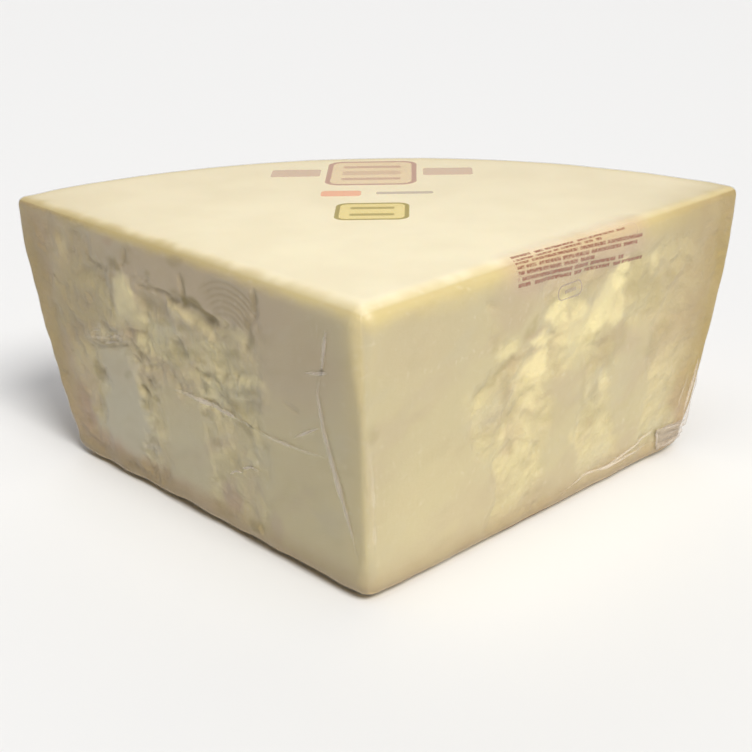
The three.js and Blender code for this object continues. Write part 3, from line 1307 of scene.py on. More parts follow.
@dataclass(frozen=True)
class FilmFinish:
    """Clear vacuum film, faintly hazy, glossy at a slant, with plain print.

    Attributes:
        front: The frame's Y of the plan's origin.
        height: Height of the top.
        gloss: Roughness of its gloss.
        milk: Colour of its haze.
    """

    front: float
    height: float
    gloss: float = 0.34
    milk: Colour = (0.62, 0.60, 0.66)

    def build(self) -> bpy.types.Material:
        """Makes the material.

        Returns:
            The material.
        """
        n = Nodes(bpy.data.materials.new("clear_film"))
        slant = n.add("LayerWeight", Blend=0.5).outputs["Facing"]
        mirror = n.maths("MULTIPLY_ADD", n.maths("POWER", slant, 5.0), 0.3, 0.014)
        ripple = n.add("Bump", Height=n.grain(0.009, 3.0), Strength=0.12, Distance=0.001)
        clear = n.add("BsdfTransparent", Color=WHITE)
        gloss = n.add("BsdfGlossy", Color=WHITE, Roughness=self.gloss, Normal=ripple.outputs[0])
        film = n.both(mirror, clear.outputs[0], gloss.outputs[0])
        # Milky haze of the film, stronger over the left face as painted reflection.
        cloud = n.times(n.maths("ADD", n.grain(0.03, 3.0), 0.5), n.attribute("haze"))
        milk = n.add("BsdfDiffuse", Color=(*self.milk, 1.0))
        hazy = n.both(cloud, film, milk.outputs[0])
        colour, share = self._print(n)
        ink = n.add("BsdfPrincipled", Base_Color=colour, Roughness=0.45)
        return n.finish(n.both(share, hazy, ink.outputs[0]))

    def _print(self, n: Nodes) -> tuple[Socket, Socket]:
        """Lays the print on the film.

        Args:
            n: The material's nodes.

        Returns:
            The ink's colour and how much of each point it covers.
        """
        place = n.add("SeparateXYZ", Vector=n.place)
        across = n.times(place.outputs["X"], 1.0 / MM)
        inward = n.maths("MULTIPLY_ADD", place.outputs["Y"], 1.0 / MM, -self.front)
        on_top = n.step(place.outputs["Z"], (self.height - 1.5) * MM, (self.height - 0.7) * MM)
        along, down = n.attribute("print_along"), n.attribute("print_across")
        covers = [(n.times(mark.cover(n, across, inward), on_top), mark.ink) for mark in TOP_PRINT]
        covers += [(mark.cover(n, along, down), mark.ink) for mark in SIDE_PRINT]
        covers.append((TextBlock().cover(n, along, down), BROWN))
        colour = n.add("RGB").outputs[0]
        colour.default_value = (*PINK, 1.0)
        share = n.times(0.0, 0.0)
        for cover, ink in covers:
            union = n.maths("SUBTRACT", n.maths("ADD", share, cover), n.times(share, cover))
            weight = n.maths("DIVIDE", cover, n.maths("MAXIMUM", union, 0.001))
            colour = n.blend(weight, colour, ink)
            share = union
        return colour, share


@dataclass(frozen=True)
class FoldFinish:
    """Film that is folded on itself: whiter, partly as a painted highlight strongest on its crown, still half
    clear.

    Attributes:
        white: How much of what lies behind it hides.
        colour: Its own colour.
        crowned: Whether it fades from its crown to its foot.
    """

    white: float = 0.54
    colour: Colour = (0.76, 0.68, 0.58)
    crowned: bool = True

    def build(self, name: str) -> bpy.types.Material:
        """Makes the material.

        Args:
            name: The material's name.

        Returns:
            The material.
        """
        n = Nodes(bpy.data.materials.new(name))
        share = n.times(n.maths("MULTIPLY_ADD", n.grain(0.006, 3.0), 0.9, 0.55), self.white)
        if self.crowned:
            share = n.times(share, n.step(n.attribute("crown"), 0.15, 1.05))
        clear = n.add("BsdfTransparent", Color=WHITE)
        white = n.add("BsdfPrincipled", Base_Color=(*self.colour, 1.0), Roughness=0.35)
        return n.finish(n.both(share, clear.outputs[0], white.outputs[0]))


@dataclass(frozen=True)
class FloorFinish:
    """A pale, even studio floor.

    Attributes:
        colour: Its colour.
        clouds: Colour of its faint clouds.
    """

    colour: Colour = (0.805, 0.815, 0.835)
    clouds: Colour = (0.765, 0.775, 0.795)

    def build(self) -> bpy.types.Material:
        """Makes the material.

        Returns:
            The material.
        """
        n = Nodes(bpy.data.materials.new("studio_floor"))
        shade = n.blend(n.times(n.grain(0.4), 0.03), self.colour, self.clouds)
        return n.finish(n.add("BsdfPrincipled", Base_Color=shade, Roughness=0.7).outputs[0])


@dataclass(frozen=True)
class Band:
    """A tone that runs along an edge and fades away from it.

    Attributes:
        strength: How strong it is at the edge.
        full: How far from the edge it keeps its strength.
        gone: How far from the edge it ends.
        start: Where along the edge it starts.
        whole: Where along the edge it has reached its strength.
    """

    strength: float
    full: float
    gone: float
    start: float
    whole: float

    def cover(self, reach: Array, run: Array) -> Array:
        """How strong it is at each distance from the edge and each place along it."""
        return self.strength * ease(reach, self.gone, self.full) * ease(run, self.start, self.whole)


@dataclass
class Cheese:
    """The cheese inside the film.

    A pair for the faces holds the right face's value and then the left one's. A pair of heights or of
    reaches holds where something is still nothing and then where it is whole.

    Attributes:
        sector: The wedge.
        faces: Its two upright faces.
        finish: Its material.
        cells: Its cells from the front edge to the rind, up the height and round the quarter turn.
        inset: How far it lies inside the film.
        skin: How far in from the rind, and how far up from the foot, the rind's colour reaches.
        dry_strip: How far in from the rind the driest paste reaches, for the faces.
        dry_zone: How far in the dry paste of the upper half reaches, for the faces.
        dry_heights: Heights of that zone's lower end.
        dry_foot: Heights of the dry paste along the foot.
        dryness: How dry the strip, the zone and the foot are.
        dry_corner: What the lower corner at the rind adds, downward.
        rim_end: How far below the top the fatty rim ends, for the faces.
        rim_full: How far below the top it keeps its strength, for the faces.
        top_rim: How strong the rim is on the top.
        top_rim_width: Its width there.
        front_warmth: How much of the rim's colour the left side of the front edge has, low and high up.
        front_heights: Heights where that changes.
        front_reach: Reach of that colour from the front edge.
        left_line: Darker line along the top's left edge, partly painted shade on its rounding, which starts
            behind the front edge.
        left_tint: Fainter tint beside that line.
        right_line: The same along the top's right edge, near the rind.
        rind_strip: Darker strip of the faces next to the rind, which starts above the foot.
        strip_strength: How strong that strip is, for the faces.
        ragged: How far the bands' edges wander.
    """

    sector: Sector
    faces: dict[Side, BrokenFace]
    finish: CheeseFinish = CheeseFinish()
    cells: tuple[int, int, int] = (226, 130, 60)
    inset: float = 0.35
    skin: Pair = (2.0, 3.0)
    dry_strip: Pair = (9.0, 18.0)
    dry_zone: Pair = (76.0, 84.0)
    dry_heights: Pair = (22.0, 75.0)
    dry_foot: Pair = (17.0, 2.0)
    dryness: float = 0.85
    dry_corner: Band = Band(0.45, 0.0, 30.0, 55.0, 12.0)
    rim_end: Pair = (13.0, 7.0)
    rim_full: Pair = (2.0, 0.0)
    top_rim: float = 0.75
    top_rim_width: float = 9.0
    front_warmth: Pair = (0.45, 0.75)
    front_heights: Pair = (55.0, 95.0)
    front_reach: Pair = (15.0, 2.0)
    left_line: Band = Band(0.5, 0.0, 8.0, 10.0, 120.0)
    left_tint: Band = Band(0.11, 4.0, 30.0, 50.0, 120.0)
    right_line: Band = Band(0.3, 0.0, 30.0, 130.0, 200.0)
    rind_strip: Band = Band(1.0, 5.0, 25.0, 12.0, 40.0)
    strip_strength: Pair = (1.0, 0.6)
    ragged: float = 2.2

    def build(self) -> bpy.types.Object:
        """Makes and dresses the cheese.

        Returns:
            The piece.
        """
        shell = WedgeShell(self.sector, self.faces, *self.cells, self.inset, "relief")
        piece = shell.build("cheese", self.finish.build())
        mesh = piece.data
        for name in ("broken", *(tone.value for tone in Tone)):
            shell.paint(mesh, name, shell.face_values(name))
        shell.paint(mesh, "far", ease(shell.share, 0.35, 1.0))
        self._paint_rind(shell, mesh)
        self._paint_top_edges(shell, mesh)
        return piece

    def _paint_rind(self, shell: WedgeShell, mesh: bpy.types.Mesh) -> None:
        """Stores where the rind lies and how dry the paste next to it is.

        Args:
            shell: The cheese's shell.
            mesh: Its mesh.
        """
        inward, upward = self.skin
        skin = np.maximum(ease(shell.outer, inward, 0.0), ease(shell.height, upward, 0.0))
        zones = [
            ease(shell.outer, mixed(shell.left, self.dry_strip), 0.0),
            ease(shell.outer, mixed(shell.left, self.dry_zone), 0.0) * ease(shell.height, *self.dry_heights),
            ease(shell.height, *self.dry_foot),
        ]
        dry = self.dryness * np.max(zones, axis=0) + self.dry_corner.cover(shell.outer, shell.height)
        shell.paint(mesh, "rind", np.where(shell.level, 0.0, skin))
        shell.paint(mesh, "dry", np.where(shell.level, 0.0, np.clip(dry, 0.0, 1.0)))

    def _paint_top_edges(self, shell: WedgeShell, mesh: bpy.types.Mesh) -> None:
        """Stores where the level top lies, and the fatty rim and the darker bands along its edges, the left
        one partly painted shade.

        Args:
            shell: The cheese's shell.
            mesh: Its mesh.
        """
        below = self.sector.height - shell.height
        wander = self.ragged * layered(shell.along, shell.height, 13.0, 23.0, 3)
        from_left, from_right = (-(shell.sharp @ side.out) for side in Side)
        edge = np.min([from_left, from_right, shell.outer], axis=0)
        flank = ease(below + wander, mixed(shell.left, self.rim_end), mixed(shell.left, self.rim_full))
        warm = mixed(ease(shell.height, *self.front_heights), self.front_warmth)
        warm *= shell.left * ease(shell.along, *self.front_reach)
        top_rim = self.top_rim * ease(edge + wander, self.top_rim_width, 0.0)
        from_left = np.where(shell.level, from_left, np.where(shell.left > 0.5, below, np.inf))
        from_right = np.where(shell.level, from_right, np.where(shell.left < 0.5, below, np.inf))
        strip = mixed(shell.left, self.strip_strength) * (0.85 + 0.2 * wander)
        strip *= self.rind_strip.cover(shell.outer, shell.height)
        ochre_and_shade = [
            self.left_line.cover(from_left + wander, shell.along),
            self.left_tint.cover(from_left, shell.along),
            self.right_line.cover(from_right + wander, shell.along),
            np.where(shell.level, 0.0, strip),
        ]
        shell.paint(mesh, "top", np.where(shell.level, ease(edge, -2.0, 2.0), 0.0))
        shell.paint(mesh, "rim", np.where(shell.level, top_rim, np.maximum(flank, warm)))
        shell.paint(mesh, "ochre_and_shade", np.clip(np.max(ochre_and_shade, axis=0), 0.0, 1.0))


@dataclass
class Film:
    """The clear film drawn tight around the cheese.

    Attributes:
        sector: The wedge.
        faces: Its two upright faces.
        cells: Its cells from the front edge to the rind, up the height and round the quarter turn.
        left_haze_and_glare: How milky it is over the left face, where the extra milk is painted reflection.
        other_haze: How milky it is elsewhere.
    """

    sector: Sector
    faces: dict[Side, BrokenFace]
    cells: tuple[int, int, int] = (150, 80, 56)
    left_haze_and_glare: float = 0.06
    other_haze: float = 0.035

    def build(self) -> bpy.types.Object:
        """Makes and dresses the film.

        Returns:
            The piece.
        """
        shell = WedgeShell(self.sector, self.faces, *self.cells, 0.0, "film")
        piece = shell.build("film", FilmFinish(self.sector.front, self.sector.height).build())
        from_left, from_right = (-(shell.sharp @ side.out) for side in Side)
        down = np.where(from_right > 0.01, from_right, shell.height - self.sector.height)
        # Over the left face the haze is stronger: painted reflection on the film.
        haze = mixed(ease(from_left, 6.0, 0.0), (self.other_haze, self.left_haze_and_glare))
        shell.paint(piece.data, "print_along", shell.sharp @ Side.RIGHT.along)
        shell.paint(piece.data, "print_across", down)
        shell.paint(piece.data, "haze", haze)
        piece.visible_shadow = False
        piece.visible_diffuse = False
        return piece


@dataclass(frozen=True)
class Crease:
    """A narrow standing fold of film.

    Attributes:
        path: A few points that it runs through, each a distance along the face or the rind and a height.
        width: Its width.
        stand: How far it stands out.
        strength: How white it is, from 0 to 1.
        base: How far its foot lies out of the film.
        cell: Length of its cells.
    """

    path: Path
    width: float
    stand: float = 0.5
    strength: float = 1.0
    base: float = 0.06
    cell: float = 1.2

    def add_to(self, shell: bmesh.types.BMesh, face: BrokenFace | RindWall) -> None:
        """Adds the fold to a mesh.

        Args:
            shell: The mesh.
            face: The face or the rind that it lies on.
        """
        spots = np.array(self.path, float)
        run = np.concatenate([[0.0], np.cumsum(np.hypot(*np.diff(spots, axis=0).T))])
        cells = max(6, int(run[-1] / self.cell))
        ridge = bmesh.ops.create_grid(shell, x_segments=cells, y_segments=6, size=0.5)["verts"]
        place = np.array([corner.co.x + 0.5 for corner in ridge]) * run[-1]
        across = np.array([corner.co.y * 2.0 for corner in ridge])
        a, h = (np.interp(place, run, line) for line in spots.T)
        ahead = [np.interp(place + 1.5, run, line) - np.interp(place - 1.5, run, line) for line in spots.T]
        length = np.maximum(np.hypot(*ahead), 1e-6)
        taper = np.sin(math.pi * np.clip(place / run[-1], 0.0, 1.0)) ** 0.5
        taper *= 0.75 + 0.35 * lumps(place, place * 0.0, 7.0, spots[0, 0])
        offset = across * self.width / 2 * taper
        rise = (1.0 - across**2) * taper
        lift = self.base + self.stand * rise
        points = face.surface(a - ahead[1] / length * offset, h + ahead[0] / length * offset, lift)
        crown = shell.verts.layers.float["crown"]
        for corner, point, white in zip(ridge, face.sector.in_frame(points), self.strength * rise):
            corner.co = point
            corner[crown] = white


@dataclass
class Folds:
    """The standing creases of the film.

    Attributes:
        faces: The surfaces that the creases lie on, with None for the rind.
        finish: Their material.
        thickness: Thickness of the film.
        creases: The creases of each surface.
    """

    faces: dict[Side | None, BrokenFace | RindWall]
    finish: FoldFinish = FoldFinish()
    thickness: float = 0.12
    creases: dict[Side | None, tuple[Crease, ...]] = field(default_factory=lambda: {
        Side.LEFT: (
            Crease(((17.5, 101), (19.5, 92), (21, 83)), 4.0, 0.25),
            Crease(((21, 86), (23.5, 75), (21, 62), (15, 45), (10, 32), (4, 15)), 5.6, 0.45),
            Crease(((17, 84.8), (23, 82.8), (31, 81)), 3.2, 0.4),
            Crease(((19, 52), (36, 50.5), (50, 50), (66, 50.6)), 3.4, 0.25, 0.8),
            Crease(((60, 50.4), (72, 51), (85, 52), (100, 52.5), (114, 51.6)), 4.4, 0.3),
            Crease(((22, 63), (31, 58), (40, 52.5)), 2.4, 0.25),
            Crease(((144, 65.5), (150, 64), (156, 62)), 3.6, 0.2, 0.75),
            Crease(((154, 62.6), (161, 61), (169, 59.6)), 3.6, 0.2, 0.7),
            Crease(((146, 62.5), (152, 61), (158, 59.2)), 2.4, 0.2, 0.7),
            Crease(((160, 64.5), (164, 63.5), (168, 62)), 2.2, 0.2, 0.7),
            Crease(((150, 60.2), (154, 63.4), (157, 65.4)), 2.0, 0.2, 0.6),
            Crease(((57, 33), (63, 34), (70, 31)), 2.4, 0.2),
            Crease(((68, 30), (73, 29), (78, 26)), 2.2, 0.2),
        ),
        None: (
            Crease(((0, 12), (60, 14), (130, 15), (210, 13), (300, 13), (345, 12)), 3.2, 0.6),
            Crease(((38, 14), (52, 45), (58, 84)), 4.0, 0.4),
            Crease(((92, 16), (101, 30), (104, 44)), 3.4, 0.4),
            Crease(((148, 16), (168, 40), (174, 66)), 4.4),
            Crease(((208, 104), (206, 84), (212, 62)), 3.8, 0.4),
            Crease(((252, 14), (240, 50), (236, 97)), 4.2, 0.45),
            Crease(((312, 14), (300, 31), (297, 50)), 3.6, 0.4),
        ),
        Side.RIGHT: (
            # The first one also stands for the sheen on the rounded front edge: painted highlight.
            Crease(((2.6, 64), (3.2, 40), (3.6, 9)), 4.5, 0.1, 0.5),
            Crease(((104, 6.5), (112, 8.5), (121, 10), (135, 8.5), (150, 9), (168, 9.5)), 2.6),
            Crease(((128, 8), (145, 10.5), (158, 13), (170, 15)), 3.0),
            Crease(((198, 41), (193, 28), (187, 13)), 4.4, 0.4),
            Crease(((191, 36), (186.5, 26), (182, 15.5)), 2.0, 0.3, 0.7),
            Crease(((169, 14.5), (169.2, 10), (169, 5)), 2.2, 1.2),
            Crease(((168, 5.4), (177, 5.6), (187, 6.5)), 2.0, 1.0),
            Crease(((168, 14.2), (176, 12.6), (188, 11.4)), 1.8, 1.0),
            Crease(((171, 11), (178, 9.6), (187, 9.4)), 1.3, 1.1, 0.8),
            Crease(((170, 8), (179, 7.4), (188, 7.6)), 1.2, 1.1, 0.7),
        ),
    })

    def build(self) -> bpy.types.Object:
        """Makes and dresses the creases.

        Returns:
            The piece.
        """
        shell = bmesh.new()
        shell.verts.layers.float.new("crown")
        for side, creases in self.creases.items():
            for crease in creases:
                crease.add_to(shell, self.faces[side])
        piece = finished("film_creases", shell, self.finish.build("creased_film"), self.thickness)
        piece.visible_shadow = False
        return piece


@dataclass
class Flap:
    """The bag's corner, folded forward against the foot of the right face, and the weld's fin above it.

    Attributes:
        face: The face that it lies on.
        start: Where the fold starts along the face.
        end: Where it ends, at the rind.
        low: Height of its lower edge.
        high: Height of its upper edge.
        lift: How far it stands off the film.
        fin_foot: Height where the fin starts.
        fin_top: Height where the fin ends.
        fin: How far the fin stands out past the rind.
        thickness: Thickness of the folded film.
        ragged: How far its edges wander.
        pleats: How many pleats run along it.
        finish: Its material.
    """

    face: BrokenFace
    start: float = 168.5
    end: float = 188.0
    low: float = 5.0
    high: float = 14.0
    lift: float = 0.8
    fin_foot: float = 9.0
    fin_top: float = 33.0
    fin: float = 0.6
    thickness: float = 0.25
    ragged: float = 1.3
    pleats: float = 2.5
    finish: FoldFinish = FoldFinish(white=0.3, colour=(0.66, 0.57, 0.47), crowned=False)

    def build(self) -> bpy.types.Object:
        """Makes and dresses the folded corner.

        Returns:
            The piece.
        """
        shell = bmesh.new()
        panel = bmesh.ops.create_grid(shell, x_segments=24, y_segments=12, size=0.5)["verts"]
        self._lay(panel)
        fin = bmesh.ops.create_grid(shell, x_segments=24, y_segments=4, size=0.5)["verts"]
        self._stand(fin)
        return finished("film_flap", shell, self.finish.build("folded_film"), self.thickness)

    def _lay(self, panel: list[bmesh.types.BMVert]) -> None:
        """Lays a unit grid on the face as the folded corner.

        Args:
            panel: The grid's corners.
        """
        across, upward = (np.array([corner.co[k] + 0.5 for corner in panel]) for k in (0, 1))
        along = self.start + (self.end - self.start) * across
        height = self.low + (self.high - self.low) * upward + 1.5 * across * (0.5 - upward)
        along = along + self.ragged * lumps(along, height, 3.5, 4.0)
        height = height + 0.7 * self.ragged * lumps(along, height, 4.5, 8.0)
        pleats = np.sin(2.0 * math.pi * (self.pleats * upward + 0.6 * across))
        lift = self.lift * (1.0 + 0.4 * lumps(along, height, 6.0, 2.0) + 0.5 * pleats)
        points = self.face.sector.in_frame(self.face.surface(along, height, lift))
        for corner, point in zip(panel, points):
            corner.co = point

    def _stand(self, fin: list[bmesh.types.BMVert]) -> None:
        """Stands a unit grid up along the rind's edge as the weld's fin.

        Args:
            fin: The grid's corners.
        """
        rise, outward = (np.array([corner.co[k] + 0.5 for corner in fin]) for k in (0, 1))
        height = self.fin_foot + (self.fin_top - self.fin_foot) * rise
        taper = ease(rise, 1.0, 0.7)
        root = 1.6
        stand = (self.fin + root) * outward * (0.25 + 0.75 * taper)
        reach = self.face.sector.rind_radius(height) - root + stand
        bend = -1.5 + 0.5 * lumps(height, reach, 8.0, 6.0)
        side = self.face.side
        points = reach[:, None] * side.along + bend[:, None] * side.out + height[:, None] * UP
        for corner, point in zip(fin, self.face.sector.in_frame(points)):
            corner.co = point


@dataclass(frozen=True)
class Camera:
    """The camera that the photograph's outline was solved for.

    Attributes:
        distance: Distance from the target.
        elevation: Angle above the level, in degrees.
        azimuth: Angle round to the right, in degrees.
        roll: Turn about the line of sight, in degrees.
        target: The point looked at, in the plan.
        focal_pixels: Focal length in pixels of the frame.
        frame_pixels: Width of the frame.
        sensor: Width of the sensor.
    """

    distance: float = 459.3
    elevation: float = 21.934
    azimuth: float = 1.939
    roll: float = -1.284
    target: tuple[float, float, float] = (4.226, 0.0, 88.33)
    focal_pixels: float = 1395.9
    frame_pixels: float = 752.0
    sensor: float = 36.0

    def build(self, sector: Sector) -> None:
        """Makes the scene's camera.

        Args:
            sector: The wedge that it looks at.
        """
        lens = bpy.data.cameras.new("camera")
        lens.sensor_width = self.sensor
        lens.lens = self.focal_pixels * self.sensor / self.frame_pixels
        lens.clip_start, lens.clip_end = 0.01, 400.0
        camera = bpy.data.objects.new("camera", lens)
        back = toward(self.azimuth, self.elevation)
        level = Vector(UP).cross(back).normalized()
        head = back.cross(level)
        axes = Matrix((level, head, back)).transposed() @ Matrix.Rotation(math.radians(self.roll), 3, "Z")
        place = np.array(self.target) + np.array(back) * self.distance
        camera.matrix_world = Matrix.Translation(sector.in_frame(place[None])[0]) @ axes.to_4x4()
        bpy.context.scene.collection.objects.link(camera)
        bpy.context.scene.camera = camera


@dataclass(frozen=True)
class Lamp:
    """A large, distant soft light.

    Attributes:
        name: Its name.
        azimuth: Where it stands, in degrees round to the right of the front.
        elevation: Its angle above the level, in degrees.
        spread: How wide it looks from the wedge, in degrees.
        strength: Its light on a surface that faces it, in watts for each square metre.
        colour: Its light's colour.
        gloss: Whether glossy surfaces mirror it.
    """

    name: str
    azimuth: float
    elevation: float
    spread: float
    strength: float
    colour: Colour = (1.0, 1.0, 1.0)
    gloss: bool = True

    def build(self) -> None:
        """Makes the lamp, aimed at the wedge."""
        light = bpy.data.lights.new(self.name, "SUN")
        light.angle, light.energy, light.color = math.radians(self.spread), self.strength, self.colour
        lamp = bpy.data.objects.new(self.name, light)
        back = toward(self.azimuth, self.elevation)
        lamp.location = back * 2.0
        lamp.visible_glossy = self.gloss
        lamp.rotation_euler = back.to_track_quat("Z", "Y").to_euler()
        bpy.context.scene.collection.objects.link(lamp)


@dataclass(frozen=True)
class Studio:
    """A pale floor and soft light.

    Attributes:
        lamps: The lamps.
        world: Colour of the even light all around.
        surround: Colour of what the camera sees past the floor.
        floor_half: Half the floor's width, in metres.
        floor_drop: How far the floor lies below the foot, in metres.
    """

    lamps: tuple[Lamp, ...] = (
        Lamp("key", 34.0, 50.0, 26.0, 2.85, (1.0, 0.97, 0.91)),
        Lamp("overhead", 20.0, 84.0, 50.0, 0.95, (1.0, 0.985, 0.96)),
        Lamp("back", 188.0, 16.0, 50.0, 0.65, gloss=False),
    )
    world: Colour = (0.112, 0.115, 0.126)
    surround: Colour = (0.88, 0.88, 0.87)
    floor_half: float = 150.0
    floor_drop: float = 0.0003

    def build(self) -> None:
        """Makes the floor, the lamps and the even light around them."""
        self._lay_floor()
        for lamp in self.lamps:
            lamp.build()
        self._light_around()
        bpy.context.scene.view_settings.view_transform = "Standard"

    def _lay_floor(self) -> None:
        """Lays the floor just below the foot."""
        mesh = bpy.data.meshes.new("floor")
        plane = bmesh.new()
        low = Matrix.Translation((0.0, 0.0, -self.floor_drop))
        bmesh.ops.create_grid(plane, x_segments=4, y_segments=4, size=self.floor_half, matrix=low)
        plane.to_mesh(mesh)
        plane.free()
        mesh.materials.append(FloorFinish().build())
        floor = bpy.data.objects.new("floor", mesh)
        bpy.context.scene.collection.objects.link(floor)

    def _light_around(self) -> None:
        """Sets the even light, and what the camera sees past the floor."""
        n = Nodes(bpy.data.worlds.new("studio"), "OutputWorld")
        seen = n.add("LightPath").outputs["Is Camera Ray"]
        sky = n.add("Background", Color=n.blend(seen, self.world, self.surround), Strength=1.0)
        bpy.context.scene.world = n.finish(sky.outputs[0])


